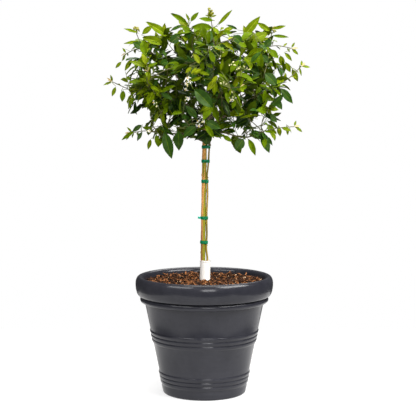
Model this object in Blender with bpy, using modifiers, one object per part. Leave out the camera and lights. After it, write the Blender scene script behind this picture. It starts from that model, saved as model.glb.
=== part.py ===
"""Potted citrus standard: a slim trunk and a thinner second stem, tied together, under a loose round crown.

Metres, +Z up. The origin is the centre of the pot's flat underside, and -Y is the front.
"""

import math
import random

import bmesh
import bpy
import numpy as np
from mathutils import Matrix

NAME = "citrus_standard"
GAP = 0.0003  # clearance between pieces that touch on the real plant

# Pot: a tapered tub with two sets of three beads, a round collar bead and a rolled rim
POT_SIDES = 32
POT_HEIGHT = 0.434
POT_FOOT_RADIUS = 0.1502  # where the body's taper would meet the ground
POT_TAPER = math.tan(math.radians(11.6))
FOOT_EDGE = 0.008
FOOT_PROUD = 0.0025
FOOT_BAND_TOP = 0.028
BEAD_PITCH = 0.0156
BEAD_PROUD = 0.004
BEAD_SETS = (0.060, 0.213)  # height of each set's middle bead
COLLAR_HEIGHT = 0.3495
COLLAR_HALF = 0.011
COLLAR_RADIUS = 0.237
RIM_FOOT = (0.2385, 0.3625)  # radius and height, as for the next three
RIM_WIDEST = (0.254, 0.407)
RIM_RIDGE = (0.240, POT_HEIGHT)
RIM_LIP = (0.2235, 0.418)
INNER_SHOULDER = (0.2165, 0.397)
POT_FLOOR = (0.143, 0.012)
SOIL_LEVEL = 0.416

# Stems: points along each axis, and radii
TRUNK_LINE = (
    (-0.0030, 0.0, SOIL_LEVEL + GAP),
    (-0.0050, 0.0, 0.492),
    (-0.0038, 0.0, 0.612),
    (-0.0012, 0.0, 0.771),
    (0.0010, 0.0, 0.911),
    (0.0040, 0.001, 0.978),
    (0.0180, 0.003, 1.086),
    (0.0330, 0.0, 1.195),
)
TRUNK_RADIUS = 0.0086
TRUNK_TIP_RADIUS = 0.0036
CROWN_FOOT = 0.911  # height where the trunk enters the crown and starts to taper quickly
FLARE = 0.0026
FLARE_HEIGHT = 0.022
FOOT_STEP = 0.010  # plumb length at a stem's foot
SLIM_LINE = (
    (0.0130, -0.002, SOIL_LEVEL + GAP),
    (0.0130, -0.002, 0.497),
    (0.0086, -0.003, 0.527),
    (0.0078, -0.003, 0.552),
    (0.0102, -0.003, 0.587),
    (0.0094, -0.003, 0.656),
    (0.0124, -0.003, 0.726),
    (0.0120, -0.003, 0.771),
    (0.0112, -0.003, 0.806),
    (0.0152, -0.003, 0.842),
    (0.0165, -0.003, 0.880),
    (0.0190, -0.003, 0.918),
)
SLIM_RADII = (0.0034, 0.0028)

# Sleeve and ties round both stems
SLEEVE_CENTRE_X = 0.0024
SLEEVE_RADIUS = 0.0192
SLEEVE_WALL = 0.0016
SLEEVE_LIP = (0.0006, 0.004)  # how far it stands out, and its height
SLEEVE_HEIGHT = 0.074
SLEEVE_LEAN = math.radians(1.2)
TIES = (  # height of the middle, tilt in degrees, tail length
    (0.909, 0.0, 0.0),
    (0.8565, 0.0, 0.0),
    (0.783, 0.0, 0.0),
    (0.648, 0.0, 0.010),
    (0.5585, 5.0, 0.0),
)
TIE_WIDTH = 0.0118
TIE_WALL = 0.0009
TIE_STEPS = 9  # points round each stem
TIE_CLEARANCE = 0.0007

# Crown: a flattened round space, shared out among the masses by the nearest centre
CROWN_CENTRE = np.array((0.004, 0.0, 1.132))
CROWN_HALF = np.array((0.330, 0.322, 0.250))
CROWN_POWER = 2.7
CROWN_WAIST = ((0.93, 1.20), (0.84, 1.0))  # heights, and the share of its width the crown has there
SPACE_MARGIN = 0.0012  # kept clear on each side of the plane between two masses
LIMB_CLEARANCE = 0.0035
TRUNK_ROOM = 0.024  # kept free of shoots round the trunk's axis
# Each mass: azimuth in degrees (0 is +X, 90 the back), distance from the axis, height of its centre,
# height at which its bough leaves the trunk, and its seed
MASSES = {
    "top": (0, 0.030, 1.305, None, 11),
    "upper_right": (10, 0.215, 1.268, 1.085, 12),
    "upper_back": (98, 0.190, 1.255, 1.115, 13),
    "upper_left": (186, 0.205, 1.258, 1.070, 14),
    "upper_front": (276, 0.180, 1.250, 1.100, 15),
    "right": (346, 0.255, 1.125, 0.990, 16),
    "back_right": (45, 0.250, 1.120, 1.012, 37),
    "back_left": (105, 0.240, 1.115, 1.040, 18),
    "left": (168, 0.255, 1.112, 0.980, 19),
    "front_left": (226, 0.245, 1.110, 1.025, 20),
    "front_right": (285, 0.235, 1.105, 1.004, 21),
    "low_right": (332, 0.225, 0.972, None, 22),
    "low_back": (80, 0.190, 0.978, 0.955, 23),
    "low_left": (195, 0.200, 0.975, 0.935, 24),
    "low_front": (258, 0.170, 0.972, 0.945, 25),
}
BOUGH_SHARE = 0.56  # how far out towards its mass's centre a bough reaches
BOUGH_RADII = (0.0046, 0.0029)
BOUGH_LEAD = 0.007  # straight length at each end of a limb
BOUGH_RISE = math.radians(28)

# Shoots with a set end: mass, tip, and what the tip carries
PLACED = (
    ("top", (0.024, -0.010, 1.378), "spire"),
    ("top", (-0.060, -0.020, 1.338), "pair"),
    ("top", (0.062, 0.010, 1.322), "tall"),
    ("upper_left", (-0.245, -0.020, 1.318), "cluster"),
    ("upper_left", (-0.150, -0.030, 1.300), "tall"),
    ("upper_left", (-0.285, 0.010, 1.248), "spray"),
    ("upper_left", (-0.105, 0.010, 1.205), "inner"),
    ("upper_right", (0.245, -0.010, 1.318), "cluster"),
    ("upper_right", (0.160, 0.020, 1.298), "tall"),
    ("upper_right", (0.318, 0.020, 1.268), "spray"),
    ("upper_right", (0.120, -0.010, 1.208), "inner"),
    ("upper_front", (-0.075, -0.130, 1.205), "inner"),
    ("upper_front", (0.085, -0.140, 1.200), "inner"),
    ("upper_back", (0.060, 0.150, 1.205), "inner"),
    ("upper_back", (-0.080, 0.140, 1.200), "inner"),
    ("right", (0.350, -0.030, 1.200), "spray"),
    ("left", (-0.336, 0.020, 1.146), "spray"),
    ("low_right", (0.322, -0.085, 0.984), "spray"),
    ("low_right", (0.215, -0.130, 0.950), "hanging"),
    ("low_front", (0.062, -0.150, 0.955), "hanging"),
    ("low_front", (-0.085, -0.130, 0.955), "hanging"),
    ("low_left", (-0.150, -0.085, 0.948), "hanging"),
    ("low_left", (-0.262, -0.050, 0.960), "spray"),
    ("low_back", (0.110, 0.190, 0.955), "hanging"),
    ("front_left", (-0.190, -0.310, 1.170), "spray"),
    ("front_right", (0.120, -0.345, 1.120), "spray"),
    ("upper_back", (-0.030, 0.260, 1.310), "cluster"),
    ("back_right", (0.235, 0.270, 1.150), "spray"),
    ("back_left", (-0.110, 0.345, 1.140), "spray"),
)
SPRAY_SHAPES = {  # leaves at a placed tip: forward, sideways, up, length
    "spire": ((0.9, 0.3, 0.5, 0.028), (0.9, -0.4, 0.4, 0.024)),
    "pair": ((0.3, 0.8, 0.6, 0.075), (0.2, -0.9, 0.6, 0.062), (0.9, 0.0, 0.3, 0.040)),
    "tall": ((0.6, 0.1, 0.9, 0.090), (0.4, -0.8, 0.3, 0.062)),
    "cluster": ((1.0, 0.1, -0.1, 0.040), (-0.2, 0.4, 0.9, 0.060), (0.8, -0.3, -0.6, 0.062)),
    "spray": ((0.8, 0.2, -0.5, 0.036), (0.4, -0.2, 0.9, 0.026), (1.0, 0.0, 0.3, 0.026)),
    "hanging": ((0.4, 0.3, -1.0, 0.086), (0.3, -0.7, -0.8, 0.076)),
    "inner": ((0.8, 0.4, 0.2, 0.105), (0.6, -0.7, 0.0, 0.100)),
}

# Twigs and leaves
SHOOTS = 9  # wanted in each mass
SHOOT_SPACING = 0.066
SHOOT_TRIES = 500
STEM_RADIUS = 0.0029
TWIG_TIP_RADIUS = 0.0014
TWIG_SHARE = 0.72  # a side twig's thickness at its root, of its parent's there
LEAF_STEP = 0.0235
LEAF_LENGTHS = (0.082, 0.118)
SMALL_LEAF = 0.5  # of a leaf's length, near the tip of a reaching shoot
LEAF_WIDTH = 0.51  # of its length
LEAF_STATIONS = (-1.0, -0.5, 0.0, 0.5, 1.0)  # a six-sided cone's corners and apex, and where they lie
LEAF_ALONG = (0.0, 0.36, 0.5, 0.74, 1.0)
LEAF_WIDE = (0.0, 1.0, 0.0, 0.8, 0.0)
LEAF_THICKNESS = 0.035
LEAF_ROOT = 0.35  # how far past the twig's axis a leaf starts, of the twig's radius
LEAF_TURN = math.radians(137.5)
LEAF_OPENING = math.radians(54)
LEAF_CURL = 0.14
LEAF_FACING = (math.radians(15), math.radians(65))  # how far a blade's face turns from straight outwards
LEAF_TRIES = 9
LEAF_RETURN = 1.1  # how far a leaf that doesn't fit is turned on
BLADE_ROOM = 0.0045  # kept free between two blades
TWIG_CLEARANCE = 0.002
ROOT_ROOM = 0.010  # round a root, where its own twig isn't in the way
LONG_TWIG = 0.14
SPACE_REACH = 0.24
DEEP_SKIPPED = 0.4  # share of the places deep in the crown that carry no shoot
BLOSSOM_RADIUS = 0.0155
BLOSSOMS = {"front_left": 2, "front_right": 2, "upper_front": 2, "low_front": 1, "left": 1, "right": 1,
            "back_left": 1, "back_right": 1, "upper_back": 1}

FINISHES = {  # colour, roughness
    "pot": ((0.042, 0.042, 0.048), 0.42),
    "soil": ((0.105, 0.055, 0.028), 0.95),
    "sleeve": ((0.83, 0.80, 0.74), 0.45),
    "tie": ((0.0, 0.23, 0.12), 0.35),
    "bark": ((0.40, 0.22, 0.08), 0.75),
    "slim_bark": ((0.25, 0.19, 0.06), 0.7),
    "bough_bark": ((0.10, 0.085, 0.035), 0.8),
    "foliage": ((0.045, 0.13, 0.018), 0.45),
}


def clear_scene():
    for old in list(bpy.data.objects):
        bpy.data.objects.remove(old, do_unlink=True)


def make_finish(name):
    colour, roughness = FINISHES[name]
    material = bpy.data.materials.new(name)
    material.use_nodes = True
    shader = material.node_tree.nodes["Principled BSDF"]
    shader.inputs["Base Color"].default_value = (*colour, 1.0)
    shader.inputs["Roughness"].default_value = roughness
    shader.inputs["Metallic"].default_value = 0.0
    material.diffuse_color = (*colour, 1.0)
    return material


def add_object(name, data, collection, finish=None):
    made = bpy.data.objects.new(name, data)
    collection.objects.link(made)
    if finish:
        data.materials.clear()
        data.materials.append(finish)
    return made


def arc(centre, radii, start, end, steps):
    """Points of an ellipse's arc in the (radius, height) plane, angles in degrees."""
    return [
        (centre[0] + radii[0] * math.cos(a), centre[1] + radii[1] * math.sin(a))
        for a in np.radians(np.linspace(start, end, steps))
    ]


def turned(name, profile, sides, collection, finish):
    """A profile of (radius, height) points, run down the outer side, turned about Z."""
    mesh = bpy.data.meshes.new(name)
    edges = [(i, i + 1) for i in range(len(profile) - 1)]
    mesh.from_pydata([(r, 0.0, h) for r, h in profile], edges, [])
    made = add_object(name, mesh, collection, finish)
    screw = made.modifiers.new("turn", "SCREW")
    screw.steps = screw.render_steps = sides
    screw.use_merge_vertices = True
    screw.merge_threshold = 0.00005
    screw.use_smooth_shade = True
    return made


def body_radius(height):
    return POT_FOOT_RADIUS + height * POT_TAPER


def inner_profile():
    """The pot's inner wall from the floor's edge up to the lip."""
    return [POT_FLOOR, INNER_SHOULDER, RIM_LIP]


def bead_set(middle):
    """Three beads, listed downwards."""
    points = []
    for row in (1, 0, -1):
        height = middle + row * BEAD_PITCH
        for offset, proud in ((0.46, 0.0006), (0.24, 0.95), (-0.24, 0.95)):
            at = height + offset * BEAD_PITCH
            points.append((body_radius(at) + proud * BEAD_PROUD, at))
    last = middle - 1.5 * BEAD_PITCH
    return points + [(body_radius(last), last)]


def make_pot(collection, finish):
    rim_top = arc((RIM_RIDGE[0], RIM_WIDEST[1]), (RIM_WIDEST[0] - RIM_RIDGE[0], POT_HEIGHT - RIM_WIDEST[1]),
                  90, 0, 4)
    rim_side = arc((RIM_FOOT[0], RIM_WIDEST[1]), (RIM_WIDEST[0] - RIM_FOOT[0], RIM_WIDEST[1] - RIM_FOOT[1]),
                   0, -90, 5)[1:]
    lip = arc((RIM_RIDGE[0], RIM_LIP[1]), (RIM_RIDGE[0] - RIM_LIP[0], POT_HEIGHT - RIM_LIP[1]),
              180, 90, 4)[1:-1]
    groove = body_radius(COLLAR_HEIGHT) + 0.4 * (COLLAR_RADIUS - body_radius(COLLAR_HEIGHT))
    collar = arc((groove, COLLAR_HEIGHT), (COLLAR_RADIUS - groove, COLLAR_HALF), 75, -75, 5)
    below_collar = COLLAR_HEIGHT - COLLAR_HALF - 0.003
    foot_radius = body_radius(FOOT_EDGE) + FOOT_PROUD
    foot = arc((foot_radius - FOOT_EDGE, FOOT_EDGE), (FOOT_EDGE, FOOT_EDGE), 0, -90, 3)
    profile = [(0.0, POT_FLOOR[1])] + inner_profile() + lip + rim_top + rim_side
    profile += collar + [(body_radius(below_collar), below_collar)]
    profile += bead_set(BEAD_SETS[1]) + bead_set(BEAD_SETS[0])[:-1]
    profile += [(body_radius(FOOT_BAND_TOP) + FOOT_PROUD, FOOT_BAND_TOP)] + foot + [(0.0, 0.0)]
    return turned("pot", profile, POT_SIDES, collection, finish)


def make_soil(collection, finish):
    """Potting mix that fills the pot up to the mulch's surface."""
    clear = 2 * GAP
    low, shoulder, lip = inner_profile()
    share = (SOIL_LEVEL - shoulder[1]) / (lip[1] - shoulder[1])
    top_radius = shoulder[0] + share * (lip[0] - shoulder[0]) - clear
    profile = [(0.0, SOIL_LEVEL), (top_radius, SOIL_LEVEL), (shoulder[0] - clear, shoulder[1]),
               (low[0] - clear, low[1] + GAP), (0.0, low[1] + GAP)]
    return turned("soil", profile, POT_SIDES, collection, finish)


def unit(vector):
    return vector / np.linalg.norm(vector)


def smooth_line(points, spans):
    """A Catmull-Rom line through the points, each span cut into the given number of steps."""
    points = np.array(points, float)
    ends = np.vstack([2 * points[0] - points[1], points, 2 * points[-1] - points[-2]])
    line = [points[0]]
    for a, b, c, d in zip(ends, ends[1:], ends[2:], ends[3:]):
        for t in np.linspace(0, 1, spans + 1)[1:]:
            line.append(0.5 * (2 * b + (c - a) * t + (2 * a - 5 * b + 4 * c - d) * t**2
                               + (3 * b - a - 3 * c + d) * t**3))
    return np.array(line)


def bow(start, control, end, steps):
    """A quadratic Bezier's points."""
    t = np.linspace(0, 1, steps)[:, None]
    return (1 - t) ** 2 * start + 2 * t * (1 - t) * control + t**2 * end


def lengths_along(path):
    return np.concatenate([[0.0], np.cumsum(np.linalg.norm(np.diff(path, axis=0), axis=1))])


class Limb:
    """A tapering limb: its axis, and its radius at each point of the axis."""

    def __init__(self, path, radii):
        self.path = np.array(path, float)
        self.along = lengths_along(self.path)
        if len(radii) == 2:
            radii = np.interp(self.along / self.along[-1], (0, 1), radii)
        self.radii = np.array(radii, float)

    def at(self, distance):
        point = [np.interp(distance, self.along, self.path[:, k]) for k in range(3)]
        return np.array(point), float(np.interp(distance, self.along, self.radii))

    def distance_to(self, height):
        return np.interp(height, self.path[:, 2], self.along)

    def at_height(self, height):
        return self.at(self.distance_to(height))

    def heading(self, distance):
        step = 0.004
        ahead = self.at(min(distance + step, self.along[-1]))[0]
        return unit(ahead - self.at(max(distance - step, 0.0))[0])

    def samples(self, step=0.003):
        distances = np.arange(0.0, self.along[-1] + step, step)
        return [self.at(min(d, self.along[-1])) for d in distances]


def standing_line(points):
    """A smooth line whose foot rises plumb, so that its cut is level."""
    path = smooth_line(points, 2)
    return np.vstack([path[:1], path[:1] + (0.0, 0.0, FOOT_STEP), path[1:]])


def trunk_limb():
    path = standing_line(TRUNK_LINE)
    height = path[:, 2]
    taper = np.interp(height, (CROWN_FOOT, height[-1]), (TRUNK_RADIUS, TRUNK_TIP_RADIUS))
    return Limb(path, taper + FLARE * np.exp(-(height - height[0]) / FLARE_HEIGHT))


def slim_limb():
    return Limb(standing_line(SLIM_LINE), SLIM_RADII)


def limb_end(limb):
    return limb.path[-1], unit(limb.path[-1] - limb.path[-2])


def mass_centre(name):
    azimuth, distance, height = MASSES[name][:3]
    turn = math.radians(azimuth)
    return np.array((distance * math.cos(turn), distance * math.sin(turn), height))


def bough_limb(name, trunk, slim):
    """The limb from the trunk's side towards one mass; the low right one goes on from the slim stem's tip."""
    centre = mass_centre(name)
    leave_height = MASSES[name][3]
    if leave_height is None:
        root, heading = limb_end(slim)
        way = heading
        start = root + way * GAP
        radii = (SLIM_RADII[1], BOUGH_RADII[1] * 0.9)
    else:
        root, trunk_radius = trunk.at_height(leave_height)
        axis = trunk.heading(trunk.distance_to(leave_height))
        outward = unit((centre - root) * (1, 1, 0))
        heading = outward * math.cos(BOUGH_RISE) + np.array((0, 0, math.sin(BOUGH_RISE)))
        way = unit(outward - axis * np.dot(outward, axis))
        start = root + way * (trunk_radius + GAP)
        radii = BOUGH_RADII
    end = root + (centre - root) * BOUGH_SHARE
    lead = start + way * BOUGH_LEAD
    reach = np.linalg.norm(end - lead)
    path = np.vstack([start, bow(lead, lead + heading * reach * 0.5, end, 4)])
    return Limb(path, radii)


def ring_guide(sides):
    """A flat ring of unit radius, the cross-section of a limb's curve."""
    curve = bpy.data.curves.new(f"ring_{sides}", "CURVE")
    spline = curve.splines.new("POLY")
    spline.points.add(sides - 1)
    for i, point in enumerate(spline.points):
        turn = 2 * math.pi * i / sides
        point.co = (math.cos(turn), math.sin(turn), 0.0, 1.0)
    spline.use_cyclic_u = True
    guide = bpy.data.objects.new(f"ring_{sides}", curve)
    guide.hide_render = True
    guide.display_type = "WIRE"
    return guide


def evaluated_mesh(name, source):
    graph = bpy.context.evaluated_depsgraph_get()
    mesh = bpy.data.meshes.new_from_object(source.evaluated_get(graph))
    mesh.name = name
    return mesh


def join_caps(mesh):
    """Joins a tube's loose caps to its sides and turns its faces outwards."""
    bm = bmesh.new()
    bm.from_mesh(mesh)
    bmesh.ops.remove_doubles(bm, verts=bm.verts, dist=0.000002)
    bmesh.ops.recalc_face_normals(bm, faces=bm.faces)
    bm.to_mesh(mesh)
    bm.free()


def tube(name, limb, guide, collection, finish=None):
    curve = bpy.data.curves.new(name, "CURVE")
    curve.dimensions = "3D"
    curve.bevel_mode = "OBJECT"
    curve.bevel_object = guide
    curve.use_fill_caps = True
    spline = curve.splines.new("POLY")
    spline.points.add(len(limb.path) - 1)
    for point, place, radius in zip(spline.points, limb.path, limb.radii):
        point.co = (*place, 1.0)
        point.radius = radius
    route = bpy.data.objects.new(name + "_route", curve)
    bpy.context.scene.collection.objects.link(route)
    bpy.context.view_layer.update()
    mesh = evaluated_mesh(name, route)
    join_caps(mesh)
    bpy.data.objects.remove(route)
    bpy.data.curves.remove(curve)
    return add_object(name, mesh, collection, finish)


def belt(first, first_radius, second, second_radius, steps):
    """The outline of a band pulled tight round two circles."""
    across = np.array(second) - np.array(first)
    apart = np.linalg.norm(across)
    facing = math.atan2(across[1], across[0])
    lean = math.acos((first_radius - second_radius) / apart)
    points = []
    for centre, radius, start, end in ((first, first_radius, lean, 2 * math.pi - lean),
                                       (second, second_radius, -lean, lean)):
        for turn in np.linspace(facing + start, facing + end, steps):
            points.append((centre[0] + radius * math.cos(turn), centre[1] + radius * math.sin(turn)))
    return points


def make_tie(number, trunk, slim, collection, finish):
    """A flat band round both stems; a tail is a tab on its left."""
    height, tilt, tail = TIES[number]
    (trunk_at, trunk_radius), (slim_at, slim_radius) = trunk.at_height(height), slim.at_height(height)
    clear = TIE_CLEARANCE + abs(math.sin(math.radians(tilt))) * TIE_WIDTH / 2
    middle = trunk_at[:2]
    apart = slim_at[:2] - middle
    inner = belt((0, 0), trunk_radius + clear, apart, slim_radius + clear, TIE_STEPS)
    outer = belt((0, 0), trunk_radius + clear + TIE_WALL, apart, slim_radius + clear + TIE_WALL, TIE_STEPS)
    if tail:
        left = min(range(len(outer)), key=lambda i: outer[i][0])
        x, y = outer[left]
        outer[left:left + 1] = [(x, y + TIE_WALL / 2), (x - tail, y + TIE_WALL / 2),
                                (x - tail, y - TIE_WALL / 2), (x, y - TIE_WALL / 2)]
    name = f"tie_{number + 1}"
    curve = bpy.data.curves.new(name, "CURVE")
    curve.dimensions = "2D"
    curve.fill_mode = "BOTH"
    curve.extrude = TIE_WIDTH / 2
    for outline in (outer, inner):
        spline = curve.splines.new("POLY")
        spline.points.add(len(outline) - 1)
        for point, (x, y) in zip(spline.points, outline):
            point.co = (x, y, 0.0, 1.0)
        spline.use_cyclic_u = True
    tie = add_object(name, curve, collection, finish)
    tie.location = (middle[0], middle[1], height)
    tie.rotation_euler = (0.0, math.radians(tilt), 0.0)
    return tie


def make_sleeve(collection, finish):
    """The plastic tube round the foot of both stems, leaning a little, its foot on the soil."""
    inside = SLEEVE_RADIUS - SLEEVE_WALL
    proud, lip_height = SLEEVE_LIP
    lip_foot = SLEEVE_HEIGHT - lip_height
    profile = [(inside, 0.0), (inside, SLEEVE_HEIGHT), (SLEEVE_RADIUS + proud, SLEEVE_HEIGHT),
               (SLEEVE_RADIUS + proud, lip_foot + proud), (SLEEVE_RADIUS, lip_foot), (SLEEVE_RADIUS, 0.0),
               (inside, 0.0)]
    sleeve = turned("trunk_sleeve", profile, 24, collection, finish)
    sleeve.location = (SLEEVE_CENTRE_X, 0.0, SOIL_LEVEL + GAP + SLEEVE_RADIUS * math.sin(SLEEVE_LEAN))
    sleeve.rotation_euler = (0.0, SLEEVE_LEAN, 0.0)
    return sleeve


class Space:
    """The part of the crown that one mass keeps to, and what its next twig or leaf has to stay clear of."""

    def __init__(self, name, limbs):
        self.centre = mass_centre(name)
        others = np.array([mass_centre(other) for other in MASSES if other != name])
        self.planes = np.array([unit(other - self.centre) for other in others])
        self.limits = np.einsum("ij,ij->i", self.planes, (others + self.centre) / 2) - SPACE_MARGIN
        self.trunk_foot = limbs[0].path[0]
        self.limb_points, self.limb_radii = np.zeros((0, 3)), np.zeros(0)
        self.twig_points, self.twig_radii = np.zeros((0, 3)), np.zeros(0)
        self.blade_points = np.zeros((0, 3))
        for limb in limbs:
            self.limb_points, self.limb_radii = with_samples(self.limb_points, self.limb_radii, limb)

    def add_twig(self, twig):
        self.twig_points, self.twig_radii = with_samples(self.twig_points, self.twig_radii, twig)

    def add_blade(self, points):
        self.blade_points = np.vstack([self.blade_points, points])

    def owns(self, points, slack=0.0):
        return bool((np.atleast_2d(points) @ self.planes.T < self.limits - slack).all())

    def clear_of_limbs(self, points, slack):
        return bool((distances(points, self.limb_points) > self.limb_radii + slack).all())

    def clear_of_twigs(self, points, root, slack):
        """Leaves out the twigs near the root, which the new piece grows from."""
        far = distances([root], self.twig_points)[0] > ROOT_ROOM
        return bool((distances(points, self.twig_points[far]) > self.twig_radii[far] + slack).all())

    def clear_of_blades(self, points):
        return bool((distances(points, self.blade_points) > BLADE_ROOM).all())


def distances(points, others):
    return np.linalg.norm(np.asarray(points)[:, None] - others[None], axis=2)


def with_samples(points, radii, limb):
    samples = limb.samples()
    return (np.vstack([points] + [point for point, _ in samples]),
            np.concatenate([radii, [radius for _, radius in samples]]))


def in_crown(points, share=1.0):
    points = np.atleast_2d(points)
    offset = np.abs(points - CROWN_CENTRE) / (CROWN_HALF * share)
    offset[:, :2] /= np.interp(points[:, 2], *CROWN_WAIST)[:, None]
    return bool(((offset**CROWN_POWER).sum(axis=1) <= 1.0).all())


class Leaf:
    """A blade from its root on a twig: its own axes, its size, and points on it."""

    def __init__(self, root, twig_radius, heading, facing, length, width):
        self.heading = unit(heading)
        self.across = unit(np.cross(facing, self.heading))
        self.normal = np.cross(self.heading, self.across)
        self.root = root - self.heading * twig_radius * LEAF_ROOT
        self.length, self.width = length, width

    def point(self, along, across, up=0.0):
        rise = up * self.length * LEAF_THICKNESS - LEAF_CURL * self.length * along**2
        return (self.root + self.heading * self.length * along + self.across * self.width / 2 * across
                + self.normal * rise)

    def grid(self):
        return np.array([self.point(along, across * min(1.0, 4 * along, 3 * (1 - along)))
                         for along in np.linspace(0.1, 1, 10) for across in (-1, -0.5, 0, 0.5, 1)])

    def mesh(self, name):
        """A low six-sided cone, drawn out into a pointed blade with its keel underneath."""
        bm = bmesh.new()
        bmesh.ops.create_cone(bm, cap_ends=True, segments=6, radius1=1.0, radius2=0.0, depth=1.0)
        for place in (-0.5, 0.5):
            pair = [vert for vert in bm.verts if abs(vert.co.y - place) < 0.1]
            bmesh.ops.connect_vert_pair(bm, verts=pair)
        for vert in bm.verts:
            across, place, up = vert.co
            along = np.interp(place, LEAF_STATIONS, LEAF_ALONG)
            half = np.interp(place, LEAF_STATIONS, LEAF_WIDE) if abs(across) > 0.1 else 0.0
            wide = math.copysign(half, across)
            vert.co = self.point(along, wide, -up - 0.5)
        return finished_mesh(bm, name)


def twig_mesh(name, twig):
    """A three-sided cone cut across at each point of the twig's line and bent along it."""
    chord = twig.path[-1] - twig.path[0]
    heights = (twig.path - twig.path[0]) @ chord / (chord @ chord)
    side, up, _ = side_axes(chord)
    bm = bmesh.new()
    bmesh.ops.create_cone(bm, cap_ends=True, segments=3, radius1=1.0, radius2=1.0, depth=1.0)
    for height in heights[1:-1]:
        bmesh.ops.bisect_plane(bm, geom=bm.verts[:] + bm.edges[:] + bm.faces[:],
                               plane_co=(0.0, 0.0, height - 0.5), plane_no=(0.0, 0.0, 1.0))
    for vert in bm.verts:
        x, y, z = vert.co
        place, radius = twig.at(np.interp(z + 0.5, heights, twig.along))
        vert.co = place + (side * x + up * y) * radius
    return finished_mesh(bm, name)


def finished_mesh(bm, name):
    bmesh.ops.recalc_face_normals(bm, faces=bm.faces)
    mesh = bpy.data.meshes.new(name)
    bm.to_mesh(mesh)
    bm.free()
    return mesh


def blossom_mesh(name, place, facing):
    """A five-pointed star of two low cones, opened towards its facing side."""
    bm = bmesh.new()
    bmesh.ops.create_uvsphere(bm, u_segments=10, v_segments=2, radius=1.0)
    for vert in bm.verts:
        turn = math.atan2(vert.co.x, vert.co.y)
        if abs(vert.co.z) > 0.5:
            vert.co.z *= 0.26
        else:
            reach = 1.0 if round(turn / (math.pi / 5)) % 2 == 0 else 0.45
            vert.co = (reach * math.cos(turn), reach * math.sin(turn), 0.2 * reach)
    turn_to = Matrix(np.column_stack(side_axes(facing)).tolist()).to_4x4()
    bmesh.ops.transform(bm, matrix=Matrix.Translation(place) @ turn_to @ Matrix.Scale(BLOSSOM_RADIUS, 4),
                        verts=bm.verts)
    return finished_mesh(bm, name)


def side_axes(heading):
    """Two axes square to a heading, and the heading itself; the second has most of the way up in it."""
    heading = unit(heading)
    side = np.cross(heading, (0.0, 0.0, 1.0))
    side = np.array((1.0, 0.0, 0.0)) if np.linalg.norm(side) < 0.05 else unit(side)
    return side, np.cross(side, heading), heading


def leaf_facing(root, rng):
    """Blades face up and half sideways out of the crown, so they show broad from every side."""
    outward = math.atan2(root[1] - CROWN_CENTRE[1], root[0] - CROWN_CENTRE[0])
    turn = outward + rng.choice((-1, 1)) * rng.uniform(*LEAF_FACING)
    return np.array((math.cos(turn), math.sin(turn), rng.uniform(0.1, 0.8)))


def droop_at(height):
    """Leaves stand up at the crown's top and hang at its foot."""
    return float(np.interp(height, (0.93, 1.12, 1.30), (0.75, 0.25, -0.25)))


def blade_fits(space, leaf, root, reaching):
    grid = leaf.grid()
    return ((reaching or in_crown(grid)) and space.owns(grid, 0.002)
            and space.clear_of_blades(grid[5:]) and space.clear_of_twigs(grid, root, TWIG_CLEARANCE)
            and space.clear_of_limbs(grid, LIMB_CLEARANCE))


def grow_leaf(space, twig, distance, turn, length, rng, reaching):
    """One leaf on a twig, turned on until it fits its space, or none."""
    root, radius = twig.at(distance)
    side, up, heading = side_axes(twig.heading(distance))
    opening = LEAF_OPENING if distance < twig.along[-1] - 0.002 else LEAF_OPENING * 0.25
    facing = leaf_facing(root, rng)
    for attempt in range(LEAF_TRIES):
        swing = turn + attempt * LEAF_RETURN
        out = side * math.cos(swing) + up * math.sin(swing)
        way = heading * math.cos(opening) + out * math.sin(opening)
        way = unit(way) - (0.0, 0.0, droop_at(root[2]))
        leaf = Leaf(root, radius, way, facing, length, length * LEAF_WIDTH)
        if blade_fits(space, leaf, root, reaching):
            space.add_blade(leaf.grid())
            return leaf
    return None


def nearest_root(parents, target):
    """The place on the older twigs that a shoot to the target leaves from."""
    found = []
    for parent in parents:
        for share in (0.35, 0.5, 0.65, 0.8, 0.97):
            distance = share * parent.along[-1]
            root, radius = parent.at(distance)
            heading = parent.heading(distance)
            away = np.linalg.norm(target - root)
            ahead = np.dot(heading, target - root) / away
            found.append((away * (1.6 - 0.6 * ahead), root, radius, heading))
    return min(found, key=lambda row: row[0])[1:]


def grow_twig(space, parents, target, reaching):
    """A twig bowed from the nearest older twig to its target, or none where it has no room."""
    root, radius, heading = nearest_root(parents, target)
    reach = np.linalg.norm(target - root)
    control = root + (heading * 0.7 + unit(target - root) * 0.6) * reach * 0.42
    steps = 4 if reach > LONG_TWIG else 3
    twig = Limb(bow(root, control, target, steps),
                (max(radius * TWIG_SHARE, TWIG_TIP_RADIUS * 1.15), TWIG_TIP_RADIUS))
    line = bow(root, control, target, 14)[1:]
    if (space.owns(line, 0.003) and (reaching or in_crown(line))
            and space.clear_of_limbs(line, LIMB_CLEARANCE + 0.002)
            and space.clear_of_twigs(line, root, TWIG_CLEARANCE)):
        return twig
    return None


def shoot_targets(space, rng):
    """Places in the mass's space for its shoots to end, spaced out, most of them near the crown's surface."""
    targets = []
    for _ in range(SHOOT_TRIES):
        place = space.centre + [rng.uniform(-SPACE_REACH, SPACE_REACH) for _ in range(3)]
        deep = in_crown(place, 0.55) and rng.random() < DEEP_SKIPPED
        near_trunk = np.hypot(*(place[:2] - space.trunk_foot[:2])) < TRUNK_ROOM
        if deep or near_trunk or not in_crown(place, 0.88) or not space.owns(place, 0.012):
            continue
        if all(np.linalg.norm(place - other) > SHOOT_SPACING for other in targets):
            targets.append(place)
        if len(targets) == SHOOTS:
            break
    return targets


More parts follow.
